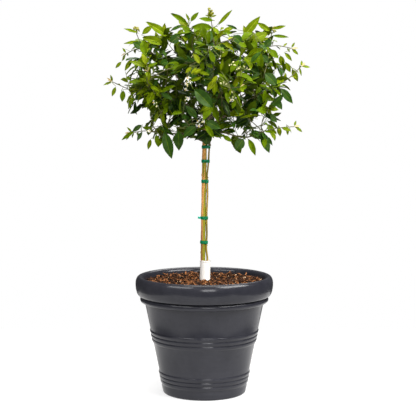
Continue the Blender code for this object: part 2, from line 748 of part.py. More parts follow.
def spray_leaves(space, twig, shape, rng):
    """The leaves at the end of a reaching shoot."""
    tip = twig.path[-1]
    side, _, heading = side_axes(twig.heading(twig.along[-1]))
    leaves = []
    for forward, sideways, upward, length in SPRAY_SHAPES[shape]:
        way = heading * forward + side * sideways + (0.0, 0.0, upward)
        facing = np.array((rng.uniform(-0.2, 0.2), -0.8, 0.6))
        leaf = Leaf(tip, twig.radii[-1], way, facing, length, length * LEAF_WIDTH * 0.9)
        if blade_fits(space, leaf, tip, True):
            space.add_blade(leaf.grid())
            leaves.append(leaf)
    return leaves


def leaves_along(space, twig, shape, rng):
    """A twig's leaves, each turned on from the last, and those at its tip."""
    leaves = spray_leaves(space, twig, shape, rng) if shape else []
    turn = rng.uniform(0, 2 * math.pi)
    places = [(twig.along[-1], turn), (twig.along[-1], turn + math.pi)] if not shape else []
    distance = LEAF_STEP * rng.uniform(0.8, 1.2)
    while distance < twig.along[-1] - LEAF_STEP / 2:
        turn += LEAF_TURN
        places.append((distance, turn))
        distance += LEAF_STEP * rng.uniform(0.85, 1.2)
    for distance, turn in places:
        small = SMALL_LEAF if shape and twig.along[-1] - distance < 0.05 else 1.0
        leaf = grow_leaf(space, twig, distance, turn, rng.uniform(*LEAF_LENGTHS) * small, rng, bool(shape))
        if leaf:
            leaves.append(leaf)
    return leaves


def grow_mass(name, carrier, limbs):
    """The twigs, leaves and blossoms of one mass, by a rule that draws only on the mass's seed."""
    rng = random.Random(MASSES[name][4])
    space = Space(name, limbs)
    tip, heading = limb_end(carrier)
    start = tip + heading * GAP
    lead = start + heading * BOUGH_LEAD
    heart = space.centre + unit(space.centre - CROWN_CENTRE) * 0.01
    bend = lead + heading * np.linalg.norm(heart - lead) * 0.4
    stem = Limb(np.vstack([start, bow(lead, bend, heart, 4)]),
                (min(STEM_RADIUS, carrier.radii[-1]), TWIG_TIP_RADIUS * 1.5))
    space.add_twig(stem)
    twigs, shapes = [stem], [None]
    wanted = [(np.array(place), shape) for owner, place, shape in PLACED if owner == name]
    drawn = sorted(shoot_targets(space, rng), key=lambda place: np.linalg.norm(place - start))
    for target, shape in wanted + [(place, None) for place in drawn]:
        twig = grow_twig(space, twigs, target, bool(shape))
        if twig:
            space.add_twig(twig)
            twigs.append(twig)
            shapes.append(shape)
    blossoms = []
    for twig in twigs[1:]:
        tip = twig.path[-1]
        if len(blossoms) < BLOSSOMS.get(name, 0) and in_crown(tip) and not in_crown(tip, 0.62):
            blossoms.append((tip, twig.heading(twig.along[-1]) + unit(tip - CROWN_CENTRE)))
    leaves = [leaf for twig, shape in zip(twigs, shapes) for leaf in leaves_along(space, twig, shape, rng)]
    return twigs, leaves, blossoms


def keep_outer_shell(mesh):
    """Drops loose scraps and the walls of sealed hollows, which fills them."""
    bm = bmesh.new()
    bm.from_mesh(mesh)
    bm.verts.ensure_lookup_table()
    left = set(bm.verts)
    shells = []
    while left:
        shell, edge = set(), [next(iter(left))]
        while edge:
            vert = edge.pop()
            if vert in shell:
                continue
            shell.add(vert)
            edge += [link.other_vert(vert) for link in vert.link_edges]
        left -= shell
        shells.append(shell)
    shells.sort(key=len)
    for shell in shells[:-1]:
        bmesh.ops.delete(bm, geom=list(shell), context="VERTS")
    bmesh.ops.triangulate(bm, faces=bm.faces)
    bm.to_mesh(mesh)
    bm.free()


def fused(name, pieces, collection, finish):
    """One Boolean union of the first piece with all the others, applied."""
    base, *others = pieces
    parts = bpy.data.collections.new(name + "_parts")
    bpy.context.scene.collection.children.link(parts)
    for piece in others:
        for home in piece.users_collection:
            home.objects.unlink(piece)
        parts.objects.link(piece)
    union = base.modifiers.new("union", "BOOLEAN")
    union.operation = "UNION"
    union.operand_type = "COLLECTION"
    union.collection = parts
    union.solver = "EXACT"
    bpy.context.view_layer.update()
    mesh = evaluated_mesh(name, base)
    keep_outer_shell(mesh)
    for piece in pieces:
        old = piece.data
        bpy.data.objects.remove(piece)
        bpy.data.meshes.remove(old)
    bpy.data.collections.remove(parts)
    return add_object(name, mesh, collection, finish)


def make_mass(name, carrier, limbs, guide, collection, finish):
    twigs, leaves, blossoms = grow_mass(name, carrier, limbs)
    pieces = [tube(f"{name}_stem", twigs[0], guide, collection)]
    for i, twig in enumerate(twigs[1:]):
        pieces.append(add_object(f"{name}_twig_{i}", twig_mesh(f"{name}_twig_{i}", twig), collection))
    for i, leaf in enumerate(leaves):
        pieces.append(add_object(f"{name}_leaf_{i}", leaf.mesh(f"{name}_leaf_{i}"), collection))
    for i, (place, facing) in enumerate(blossoms):
        mesh = blossom_mesh(f"{name}_blossom_{i}", place, facing)
        pieces.append(add_object(f"{name}_blossom_{i}", mesh, collection))
    made = fused("foliage_" + name, pieces, collection, finish)
    print(f"{made.name}: {len(twigs)} twigs, {len(leaves)} leaves, {len(made.data.polygons)} faces")
    return made


def main():
    clear_scene()
    collection = bpy.data.collections.new(NAME)
    bpy.context.scene.collection.children.link(collection)
    finishes = {name: make_finish(name) for name in FINISHES}
    make_pot(collection, finishes["pot"])
    make_soil(collection, finishes["soil"])
    make_sleeve(collection, finishes["sleeve"])
    trunk, slim = trunk_limb(), slim_limb()
    guides = {sides: ring_guide(sides) for sides in (3, 5, 12)}
    tube("trunk", trunk, guides[12], collection, finishes["bark"])
    tube("slim_stem", slim, guides[5], collection, finishes["slim_bark"])
    for number in range(len(TIES)):
        make_tie(number, trunk, slim, collection, finishes["tie"])
    boughs = {name: bough_limb(name, trunk, slim) for name in MASSES if name != "top"}
    for name, bough in boughs.items():
        tube("bough_" + name, bough, guides[5], collection, finishes["bough_bark"])
    limbs = [trunk, slim, *boughs.values()]
    for name in MASSES:
        make_mass(name, boughs.get(name, trunk), limbs, guides[3], collection, finishes["foliage"])
    for guide in guides.values():
        bpy.data.objects.remove(guide)


main()
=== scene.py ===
import math
import random

import bmesh
import bpy
import numpy as np
from mathutils import Matrix, Vector, noise


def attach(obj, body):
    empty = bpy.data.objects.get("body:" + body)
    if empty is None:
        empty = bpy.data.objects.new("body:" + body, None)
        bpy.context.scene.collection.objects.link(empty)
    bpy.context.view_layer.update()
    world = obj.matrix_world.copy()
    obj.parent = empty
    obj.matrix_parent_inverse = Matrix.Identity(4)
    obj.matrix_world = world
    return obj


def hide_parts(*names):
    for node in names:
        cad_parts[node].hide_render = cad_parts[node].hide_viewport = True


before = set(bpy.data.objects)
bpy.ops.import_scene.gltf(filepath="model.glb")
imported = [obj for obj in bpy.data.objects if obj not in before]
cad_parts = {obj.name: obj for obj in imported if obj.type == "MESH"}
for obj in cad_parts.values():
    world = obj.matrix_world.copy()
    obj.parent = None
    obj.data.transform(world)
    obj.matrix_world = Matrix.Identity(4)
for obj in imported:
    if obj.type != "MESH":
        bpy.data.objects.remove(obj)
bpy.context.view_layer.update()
scene = bpy.context.scene
print("frame loaded:", len(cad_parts), "nodes")


def addObject(name, data):
    thing = bpy.data.objects.new(name, data)
    scene.collection.objects.link(thing)
    return thing


def addNode(tree, kind, settings=None, **inputs):
    # One node of a shader or a geometry tree. An input is named, or numbered as n0, n1 and so on.
    node = tree.nodes.new(kind)
    for key, value in (settings or {}).items():
        setattr(node, key, value)
    for key, value in inputs.items():
        join(tree, node.inputs[int(key[1:]) if key[1:].isdigit() else key.replace("_", " ")], value)
    return node


def join(tree, socket, value):
    if isinstance(value, bpy.types.NodeSocket):
        tree.links.new(value, socket)
    else:
        socket.default_value = (*value, 1.0) if isinstance(value, tuple) and socket.type == "RGBA" else value


def reckoned(tree, operation, *values):
    inputs = {f"n{number}": value for number, value in enumerate(values)}
    return addNode(tree, "ShaderNodeMath", {"operation": operation}, **inputs).outputs[0]


# Finishes: a small kit of node steps, then one function or one row for each material

class Finish:
    def __init__(self, name, roughness=0.5, shine=0.5):
        self.material = bpy.data.materials.new(name)
        self.material.use_nodes = True
        self.tree = self.material.node_tree
        self.set("Roughness", roughness)
        self.set("Specular IOR Level", shine)

    def set(self, socket, value):
        join(self.tree, self.tree.nodes["Principled BSDF"].inputs[socket], value)

    def step(self, output, kind, settings=None, **inputs):
        return addNode(self.tree, "ShaderNode" + kind, settings, **inputs).outputs[output]

    def where(self, stretch=(1.0, 1.0, 1.0)):
        return self.step(0, "Mapping", Vector=self.step("Object", "TexCoord"), Scale=stretch)

    def apart(self, vector):
        return addNode(self.tree, "ShaderNodeSeparateXYZ", Vector=vector).outputs

    def noise(self, where, scale, detail=3.0, roughness=0.55):
        return self.step("Fac", "TexNoise", Vector=where, Scale=scale, Detail=detail, Roughness=roughness)

    def ramp(self, value, *stops):
        node = addNode(self.tree, "ShaderNodeValToRGB", Fac=value)
        for _ in stops[2:]:
            node.color_ramp.elements.new(0.5)
        for element, (place, colour) in zip(node.color_ramp.elements, stops):
            element.position, element.color = place, (*colour, 1.0)
        return node.outputs["Color"]

    def span(self, value, low, high, start=0.0, end=1.0):
        return self.step("Result", "MapRange", {"interpolation_type": "SMOOTHSTEP"}, Value=value,
                         From_Min=low, From_Max=high, To_Min=start, To_Max=end)

    def math(self, operation, *values):
        return reckoned(self.tree, operation, *values)

    def mix(self, share, first, second):
        return self.step(2, "Mix", {"data_type": "RGBA"}, n0=share, n6=first, n7=second)

    def bump(self, height, depth, strength=1.0):
        self.set("Normal", self.step("Normal", "Bump", Height=height, Distance=depth, Strength=strength))


def resinFinish():
    # Moulded charcoal resin, cloudy and satin
    made = Finish("charcoalResin", shine=0.06)
    where = made.where()
    cloud = made.noise(where, 9.0, 4.0, 0.6)
    streak = made.noise(made.where((3.0, 3.0, 22.0)), 4.0, 3.0)
    coat = made.ramp(cloud, (0.3, (0.0130, 0.0132, 0.0180)), (0.72, (0.036, 0.0362, 0.0440)))
    made.set("Base Color", made.mix(streak, coat, (0.021, 0.0212, 0.0275)))
    made.set("Coat Weight", 0.45)
    made.set("Coat Roughness", 0.15)
    made.set("Roughness", made.span(cloud, 0.3, 0.7, 0.30, 0.42))
    made.bump(made.noise(where, 26.0, 3.0), 0.0006, 0.3)
    return made.material


def trunkFinish():
    # Tan bark, redder low down, olive on the front right below the middle and in a pointed patch higher up
    made = Finish("trunkBark", 0.62, 0.2)
    around = made.apart(made.step("Vector", "Attribute", {"attribute_name": "around"}))

    def facing(x, y):
        return made.math("ADD", made.math("MULTIPLY", around["X"], x), made.math("MULTIPLY", around["Y"], y))

    where = made.where((1.0, 1.0, 0.16))
    height = made.apart(made.where())["Z"]
    fine = made.noise(where, 340.0, 4.0, 0.6)
    lean = made.math("ADD", facing(0.8, -0.6), made.math("MULTIPLY", made.noise(where, 46.0, 3.0), 0.5))
    stripe = made.span(made.math("SUBTRACT", lean, made.span(height, 0.66, 0.80, 0.0, 0.34)), 0.70, 0.86)
    point = made.math("ADD", facing(-0.30, -0.95), made.math("MULTIPLY", height, 2.6))
    patch = made.math("MULTIPLY", made.span(point, 3.055, 3.080), made.span(height, 0.8580, 0.8575))
    tan = made.mix(made.span(height, 0.54, 0.68), (0.27, 0.098, 0.036), (0.60, 0.28, 0.074))
    tan = made.mix(made.span(fine, 0.35, 0.7, 0.0, 0.45), tan, (0.66, 0.37, 0.12))
    tan = made.mix(made.span(made.noise(where, 70.0, 2.0), 0.60, 0.68, 0.0, 0.6), tan, (0.30, 0.22, 0.025))
    coat = made.mix(made.math("MAXIMUM", stripe, patch), tan, (0.235, 0.225, 0.012))
    made.set("Base Color", made.mix(made.span(height, 0.93, 1.02), coat, (0.13, 0.12, 0.035)))
    made.bump(fine, 0.0009, 0.7)
    return made.material


def slimFinish():
    made = Finish("slimStemBark", 0.58, 0.2)
    where = made.where((1.0, 1.0, 0.2))
    fine = made.noise(where, 420.0, 3.0)
    coat = made.ramp(made.noise(where, 60.0, 3.0), (0.35, (0.13, 0.105, 0.012)), (0.5, (0.28, 0.20, 0.026)),
                     (0.68, (0.36, 0.19, 0.042)))
    made.set("Base Color", made.mix(made.span(fine, 0.4, 0.75, 0.0, 0.35), coat, (0.48, 0.31, 0.10)))
    made.bump(fine, 0.0006, 0.6)
    return made.material


def sleeveFinish():
    made = Finish("whiteTube", 0.42)
    # The faint vertical lines are painted shade, the stems' shadows showing through the white tube; the same
    # noise gives a faint bump
    shadeLines = made.noise(made.where((1.0, 1.0, 0.05)), 210.0, 3.0)
    stain = made.noise(made.where(), 38.0, 3.0)
    coat = made.mix(made.span(shadeLines, 0.42, 0.66), (0.88, 0.85, 0.79), (0.97, 0.95, 0.91))
    made.set("Base Color", made.mix(made.span(stain, 0.6, 0.8, 0.0, 0.35), coat, (0.72, 0.62, 0.48)))
    made.bump(shadeLines, 0.0006, 0.35)
    return made.material


def leafFinish(name, colour, roughness, shine, sheen=(0.85, 1.0, 0.45)):
    # A plain colour, mottled so slightly that where the mottling falls doesn't matter
    made = Finish(name, roughness, shine)
    mottle = made.noise(made.where(), 55.0, 2.0)
    dark, light = (tuple(min(1.0, c * share) for c in colour) for share in (0.80, 1.16))
    made.set("Base Color", made.ramp(mottle, (0.35, dark), (0.65, light)))
    made.set("Specular Tint", sheen)
    made.bump(made.noise(made.where(), 260.0, 2.0), 0.0004, 0.5)
    return made.material


grains = {  # roughness, shine, stretch upwards, noise, places of the colours, depth and strength of relief
    "soil": (0.95, 0.05, 1.0, (240.0, 4.0, 0.7), (0.35, 0.7), 0.002, 0.9),
    "chip": (0.85, 0.12, 1.0, (160.0, 4.0, 0.65), (0.32, 0.68), 0.0012, 0.8),
    "bark": (0.66, 0.5, 1.0, (260.0, 4.0, 0.6), (0.3, 0.7), 0.0007, 0.7),
    "tape": (0.42, 0.18, 3.0, (110.0, 3.0), (0.3, 0.6, 0.85), 0.0012, 0.6),
}


def grained(name, grain, *colours):
    roughness, shine, stretch, pattern, places, depth, strength = grains[grain]
    made = Finish(name, roughness, shine)
    fine = made.noise(made.where((1.0, 1.0, stretch)), *pattern)
    made.set("Base Color", made.ramp(fine, *zip(places, colours)))
    made.bump(fine, depth, strength)
    return made.material


def plainFinish(name, colour, roughness=0.5):
    made = Finish(name, roughness)
    mottle = made.noise(made.where(), 300.0, 2.0)
    made.set("Base Color", made.ramp(mottle, (0.3, tuple(c * 0.85 for c in colour)), (0.7, colour)))
    return made.material


leafTones = (  # base colour, from the oldest inner leaves, the darkest of them painted shade deep in the crown, to the newest tips
    (0.008, 0.022, 0.003),
    (0.022, 0.060, 0.006),
    (0.086, 0.142, 0.001),
    (0.102, 0.148, 0.001),
    (0.136, 0.170, 0.002),
    (0.260, 0.285, 0.010),
    (0.560, 0.430, 0.220),
)
finishes = {
    "resin": resinFinish(),
    # Potting mix nearly black: its own dark colour, darkened further as painted shade where it shows in the
    # gaps between chips
    "soil": grained("darkPottingMix", "soil", (0.003, 0.0015, 0.001), (0.020, 0.009, 0.004)),
    "chipOrange": grained("barkOrange", "chip", (0.075, 0.024, 0.007), (0.36, 0.148, 0.054)),
    "chipBrown": grained("barkBrown", "chip", (0.010, 0.004, 0.002), (0.095, 0.035, 0.014)),
    # Near-black chips: dark bark pieces, and painted shade standing for the deep gaps between chips
    "chipDark": grained("barkDark", "chip", (0.004, 0.002, 0.001), (0.030, 0.013, 0.006)),
    "chipPale": grained("barkPale", "chip", (0.36, 0.20, 0.10), (0.74, 0.55, 0.36)),
    "trunk": trunkFinish(),
    "slim": slimFinish(),
    "bough": grained("boughBark", "bark", (0.050, 0.042, 0.016), (0.150, 0.120, 0.048)),
    "twig": grained("twigBark", "bark", (0.040, 0.038, 0.010), (0.120, 0.108, 0.030)),
    "shoot": grained("greenShoot", "bark", (0.060, 0.080, 0.010), (0.160, 0.185, 0.025)),
    "bud": grained("darkBud", "bark", (0.030, 0.018, 0.012), (0.100, 0.055, 0.030)),
    "sleeve": sleeveFinish(),
    "tie": grained("greenTape", "tape", (0.0, 0.085, 0.028), (0.0, 0.19, 0.068), (0.0, 0.40, 0.22)),
    # The loose tail is the ties' own tape painted lighter, a painted highlight where the tail catches the light
    "tail": grained("turquoiseTape", "tape", (0.0, 0.30, 0.18), (0.0, 0.50, 0.34), (0.02, 0.62, 0.46)),
    "ribDark": leafFinish("leafRibDark", (0.070, 0.125, 0.004), 0.45, 0.12),
    "ribLight": leafFinish("leafRibLight", (0.230, 0.290, 0.015), 0.45, 0.12),
    "underDark": leafFinish("leafUnderDark", (0.062, 0.100, 0.003), 0.62, 0.05),
    "underLight": leafFinish("leafUnderLight", (0.150, 0.200, 0.005), 0.58, 0.05),
    "petal": plainFinish("whitePetal", (0.93, 0.93, 0.88)),
    "budPetal": plainFinish("creamPetal", (0.66, 0.62, 0.30)),
    "stamen": plainFinish("yellowStamen", (0.86, 0.60, 0.12), 0.6),
    "calyx": plainFinish("greenCalyx", (0.20, 0.30, 0.06)),
    "fruitlet": plainFinish("oliveFruitlet", (0.29, 0.27, 0.030)),
}
for number, colour in enumerate(leafTones):
    gloss = (0.34, 0.12, (0.85, 1.0, 0.55)) if number < 2 else (0.44, 0.06, (0.85, 1.0, 0.35))
    finishes[f"leaf{number}"] = leafFinish(f"leafTone{number}", colour, *gloss)
print("finishes ready:", len(finishes))


# Camera, light and floor. The camera stands in front, a little above the crown's foot.

studio = {
    "cameraPlace": (0.0, -4.2, 1.034),
    "cameraDip": 4.76,  # degrees below level
    "lens": 99.17,
    "shiftX": 0.0089,
    "floorSize": 2.4,
    "floorGlow": 0.70,
    "floorShade": 0.30,
    "skyLight": 0.05,
    "sunColour": (1.0, 0.97, 0.91),
    "sun": (3.0, (4, 0, 20), 40),  # strength, turn in degrees, width in degrees
    "softBoxes": (  # place, width and height, power
        ((2.5, -1.5, 3.3), (3.2, 1.8), 275),
        ((-2.2, -2.2, 2.9), (2.6, 1.4), 90),
        ((0.6, -4.8, 1.6), (1.8, 1.4), 82),
        ((0.4, 2.4, 3.0), (1.8, 1.8), 45),
    ),
    "aim": (0.0, 0.0, 0.9),
}


def makeStudio():
    lens = bpy.data.cameras.new("camera")
    lens.lens, lens.sensor_width, lens.shift_x = studio["lens"], 36.0, studio["shiftX"]
    scene.camera = addObject("camera", lens)
    scene.camera.location = studio["cameraPlace"]
    scene.camera.rotation_euler = (math.radians(90 - studio["cameraDip"]), 0.0, 0.0)

    scene.world = bpy.data.worlds.new("sky")
    scene.world.use_nodes = True
    tree, sky = scene.world.node_tree, scene.world.node_tree.nodes["Background"].inputs
    seen = addNode(tree, "ShaderNodeLightPath").outputs["Is Camera Ray"]
    strength = addNode(tree, "ShaderNodeMapRange", Value=seen, To_Min=studio["skyLight"])
    join(tree, sky["Strength"], strength.outputs["Result"])
    join(tree, sky["Color"], (1.0, 1.0, 1.0))

    power, turn, width = studio["sun"]
    sun = bpy.data.lights.new("sun", "SUN")
    sun.energy, sun.color, sun.angle = power, studio["sunColour"], math.radians(width)
    addObject("sun", sun).rotation_euler = [math.radians(a) for a in turn]
    for number, (place, sides, power) in enumerate(studio["softBoxes"]):
        light = bpy.data.lights.new(f"softBox{number}", "AREA")
        light.shape, light.energy = "RECTANGLE", power
        light.size, light.size_y = sides
        lamp = addObject(light.name, light)
        lamp.location = place
        lamp.rotation_euler = (Vector(studio["aim"]) - Vector(place)).to_track_quat("-Z", "Y").to_euler()

    half = studio["floorSize"] / 2
    mesh = bpy.data.meshes.new("floor")
    corners = [(-half, -half, 0), (half, -half, 0), (half, half, 0), (-half, half, 0)]
    mesh.from_pydata(corners, [], [(0, 1, 2, 3)])
    paper = Finish("floorPaper", 0.9, 0.0)
    paper.set("Base Color", (studio["floorShade"],) * 3)
    paper.set("Emission Color", (1.0, 1.0, 1.0))
    paper.set("Emission Strength", studio["floorGlow"])
    mesh.materials.append(paper.material)
    floor = addObject("floor", mesh)
    scene.view_settings.view_transform = "Standard"


makeStudio()
print("studio ready")


# Mesh steps shared by the pieces. A shell is its points, its faces and one more list.

def setSharp(mesh, angle):
    mesh.shade_smooth()
    mesh.set_sharp_from_angle(angle=math.radians(angle))


def addMesh(name, points, faces, coats=(), sharp=40, turnOut=True):
    mesh = bpy.data.meshes.new(name)
    mesh.from_pydata([tuple(point) for point in points], [], faces)
    for coat in coats:
        mesh.materials.append(finishes[coat])
    mesh.update()
    setSharp(mesh, sharp)
    if turnOut:
        bm = bmesh.new()
        bm.from_mesh(mesh)
        bmesh.ops.recalc_face_normals(bm, faces=bm.faces)
        bm.to_mesh(mesh)
        bm.free()
    return addObject(name, mesh)


def setAttribute(piece, name, kind, values, domain="POINT"):
    layer = piece.data.attributes.new(name, kind, domain)
    field = "vector" if kind == "FLOAT_VECTOR" else "value"
    layer.data.foreach_set(field, np.array(values, np.int32 if kind == "INT" else np.float32).ravel())


def settle(piece, slotName, *nodes):
    if nodes:
        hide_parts(*nodes)
    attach(piece, "root")


def joined(shells):
    points, faces, more = [], [], []
    for shellPoints, shellFaces, shellMore in shells:
        faces += [tuple(len(points) + i for i in face) for face in shellFaces]
        points += shellPoints
        more += shellMore
    return points, faces, more


def ringFaces(rows, sides, first=0, closed=False):
    # Faces between rows of points that each go round once; closed joins the last row to the first
    faces = []
    for row in range(rows if closed else rows - 1):
        a, b = first + row * sides, first + (row + 1) % rows * sides
        faces += [(a + i, a + (i + 1) % sides, b + (i + 1) % sides, b + i) for i in range(sides)]
    return faces


def endFaces(rows, sides, first=0):
    last = first + (rows - 1) * sides
    return [tuple(range(first, first + sides))[::-1], tuple(range(last, last + sides))]


def fullTurn(steps):
    return np.linspace(0, 2 * math.pi, steps, endpoint=False)


def spun(profile, sides, part=0):
    # A closed form turned about X. The profile gives distance and radius, with its ends on the axis.
    inner = profile[1:-1]
    points = [(profile[0][0], 0.0, 0.0), (profile[-1][0], 0.0, 0.0)]
    points += [(x, radius * math.cos(a), radius * math.sin(a))
               for x, radius in inner for a in fullTurn(sides)]
    last = 2 + (len(inner) - 1) * sides
    faces = [(0, 2 + (i + 1) % sides, 2 + i) for i in range(sides)] + ringFaces(len(inner), sides, 2)
    faces += [(1, last + i, last + (i + 1) % sides) for i in range(sides)]
    return points, faces, [part] * len(faces)


def turned(name, profile, sides, coat, sharp):
    # A profile of radius and height turned about Z
    points, faces, _ = spun([(height, radius) for radius, height in profile], sides)
    return addMesh(name, [(x, y, height) for height, x, y in points], faces, (coat,), sharp)


def arc(centre, radii, start, end, steps):
    return [(centre[0] + radii[0] * math.cos(a), centre[1] + radii[1] * math.sin(a))
            for a in np.radians(np.linspace(start, end, steps))]


# Pot

pot = {
    "sides": 144,
    "height": 0.434,
    "footRadius": 0.1502,
    "taper": math.tan(math.radians(11.6)),
    "footEdge": 0.008,
    "footProud": 0.0025,
    "footBandTop": 0.028,
    "beadPitch": 0.0156,
    "beadProud": 0.0044,
    "beadGroove": 0.0006,
    "beadSets": (0.213, 0.060),
    "collarHeight": 0.3495,
    "collarHalf": 0.011,
    "collarRadius": 0.237,
    "rimFoot": (0.2385, 0.3625),
    "rimWidest": (0.254, 0.407),
    "rimRidge": 0.240,
    "rimLip": (0.2235, 0.418),
    "innerShoulder": (0.2165, 0.397),
    "innerWall": (0.2145, 0.392),
    "floor": (0.143, 0.012),
}


def bodyAt(height, proud=0.0):
    return pot["footRadius"] + height * pot["taper"] + proud, height


def beadRow(middle):
    # One half-round bead, listed downwards, with a narrow groove above and below it
    return [bodyAt(middle + share * pot["beadPitch"] / 2,
                   pot["beadProud"] * math.sqrt(1 - share ** 2) ** 0.8 - pot["beadGroove"])
            for share in np.linspace(0.96, -0.96, 9)]


def makePot():
    (neck, neckAt), (wide, wideAt), (lip, lipAt) = pot["rimFoot"], pot["rimWidest"], pot["rimLip"]
    ridge, height, edge, half = pot["rimRidge"], pot["height"], pot["footEdge"], pot["collarHalf"]
    profile = [(0.0, pot["floor"][1]), pot["floor"], pot["innerWall"], pot["innerShoulder"], pot["rimLip"]]
    profile += arc((ridge, lipAt), (ridge - lip, height - lipAt), 180, 90, 8)[1:-1]
    profile += arc((ridge, wideAt), (wide - ridge, height - wideAt), 90, 0, 12)
    profile += arc((neck, wideAt), (wide - neck, wideAt - neckAt), 0, -90, 12)[1:]
    body, collarAt = bodyAt(pot["collarHeight"])
    groove = body + 0.4 * (pot["collarRadius"] - body)
    profile += arc((groove, collarAt), (pot["collarRadius"] - groove, half), 82, -82, 14)
    profile += [bodyAt(collarAt - half - 0.003), bodyAt(collarAt - half - 0.007)]
    reach = 1.62 * pot["beadPitch"]
    for number, middle in enumerate(pot["beadSets"]):
        profile.append(bodyAt(middle + reach))
        for row in (1, 0, -1):
            profile += beadRow(middle + row * pot["beadPitch"])
        if number == 0:
            profile.append(bodyAt(middle - reach))
    bandTop, proud = pot["footBandTop"], pot["footProud"]
    profile += [bodyAt(bandTop + 0.005), (bodyAt(bandTop, proud)[0], bandTop - 0.001)]
    profile += arc((bodyAt(edge, proud)[0] - edge, edge), (edge, edge), 0, -90, 7) + [(0.0, 0.0)]
    settle(turned("potShell", profile, pot["sides"], "resin", 50), "pot", "pot")


makePot()
print("pot made")


# Mulch: potting mix with a low mound, and shredded bark laid over it

mulch = {
    "level": 0.4125,
    "mound": 0.004,
    "radius": 0.2215,
    "rings": 18,
    "spokes": 60,
    "bedSteps": 26,
    "kinds": (  # finish, chips, lowest and highest size, how steeply they lie in degrees, seed, shapes
        # Many near-black chips, partly painted shade in the gaps
        ("chipDark", 800, 0.8, 1.7, 30, 3, "flake"),
        ("chipBrown", 640, 0.8, 1.8, 28, 5, "flake"),
        ("chipOrange", 420, 0.9, 2.0, 28, 7, "fibre"),
        ("chipPale", 66, 0.8, 1.5, 18, 9, "flake"),
    ),
    "shapes": {  # length, width, thickness, bend
        "flake": ((0.016, 0.0056, 0.0022, 0.10), (0.012, 0.0070, 0.0026, -0.08),
                  (0.020, 0.0046, 0.0020, 0.05)),
        "fibre": ((0.026, 0.0030, 0.0016, 0.14), (0.018, 0.0042, 0.0018, -0.12),
                  (0.024, 0.0024, 0.0014, 0.20)),
    },
    "sections": ((-0.5, 0.35), (-0.30, 0.95), (0.0, 1.0), (0.28, 0.85), (0.5, 0.25)),  # place along, width
}


def mulchHeight(x, y):
    radius = math.hypot(x, y) / mulch["radius"]
    lumps = noise.noise((x * 22, y * 22, 0.3)) * 0.0032 + noise.noise((x * 70, y * 70, 1.7)) * 0.0016
    return mulch["level"] + mulch["mound"] * (1 - radius ** 2) + lumps * (1 - 0.6 * radius ** 6)


def makeSoil():
    # Closed: a lumpy top, then straight down inside the pot's wall
    (low, lowAt), (shoulder, shoulderAt), level = pot["floor"], pot["innerShoulder"], mulch["level"]
    profile = [(mulch["radius"] * share, level) for share in np.linspace(0, 1, mulch["rings"] + 1)]
    profile += [(shoulder - 0.001, shoulderAt - 0.004), (low - 0.001, lowAt + 0.0004), (0.0, lowAt + 0.0004)]
    piece = turned("pottingMix", profile, mulch["spokes"], "soil", 60)
    for vertex in piece.data.vertices:
        if vertex.co.z > level - 0.0001:
            vertex.co.z = mulchHeight(vertex.co.x, vertex.co.y)
    settle(piece, "soil", "soil")


def chipShape(name, length, width, thickness, bend, rng):
    # A splinter of five ragged cross-sections, bent a little and closed at its ends
    points, bend = [], bend * length
    for place, share in mulch["sections"]:
        for y, z in ((-1, -1), (1, -1), (1, 1), (-1, 1)):
            points.append((place * length + rng.uniform(-0.06, 0.06) * length,
                           y * width / 2 * share * rng.uniform(0.7, 1.2) + bend * (1 - 4 * place ** 2) / 4,
                           z * thickness / 2 * rng.uniform(0.6, 1.2) + bend * place ** 2))
    rows = len(mulch["sections"])
    return addMesh(name, points, ringFaces(rows, 4) + endFaces(rows, 4), sharp=35)


def startTree(name, **inputs):
    # A geometry tree with its named inputs, each with its kind
    tree = bpy.data.node_groups.new(name, "GeometryNodeTree")
    tree.is_modifier = True
    for title, kind in {"Geometry": "Geometry", **inputs}.items():
        tree.interface.new_socket(name=title, in_out="INPUT", socket_type="NodeSocket" + kind)
    tree.interface.new_socket(name="Geometry", in_out="OUTPUT", socket_type="NodeSocketGeometry")
    return tree, tree.nodes.new("NodeGroupInput").outputs


def placedShapes(tree, shapes, **inputs):
    # Puts one shape of the collection on each point and makes the lot a plain mesh
    picked = addNode(tree, "GeometryNodeCollectionInfo", Collection=shapes, Separate_Children=True,
                     Reset_Children=True)
    placed = addNode(tree, "GeometryNodeInstanceOnPoints", Instance=picked.outputs[0], Pick_Instance=True,
                     **inputs)
    return addNode(tree, "GeometryNodeRealizeInstances", Geometry=placed.outputs[0]).outputs[0]


def painted(tree, geometry, finish, **inputs):
    return addNode(tree, "GeometryNodeSetMaterial", Geometry=geometry, Material=finish, **inputs).outputs[0]


def baked(name, source, tree, shapes, values):
    # Runs a geometry tree on the source object with the shapes, and keeps the result as a plain mesh object
    home = bpy.data.collections.new("shapes")
    for number, shape in enumerate(shapes):
        shape.name = f"{name}Shape{number}"  # Collection Info takes them in the order of their names
        scene.collection.objects.unlink(shape)
        home.objects.link(shape)
    modifier = source.modifiers.new("build", "NODES")
    modifier.node_group = tree
    identifiers = {item.name: item.identifier for item in tree.interface.items_tree if item.in_out == "INPUT"}
    for key, value in {"Shapes": home, **values}.items():
        modifier[identifiers[key]] = value
    scene.view_layers[0].update()
    graph = bpy.context.evaluated_depsgraph_get()
    mesh = bpy.data.meshes.new_from_object(source.evaluated_get(graph), depsgraph=graph)
    mesh.name = name
    source.modifiers.remove(modifier)
    for shape in shapes:
        clearAway(shape)
    bpy.data.collections.remove(home)
    return addObject(name, mesh)


def clearAway(thing):
    data = thing.data
    bpy.data.objects.remove(thing)
    bpy.data.meshes.remove(data)


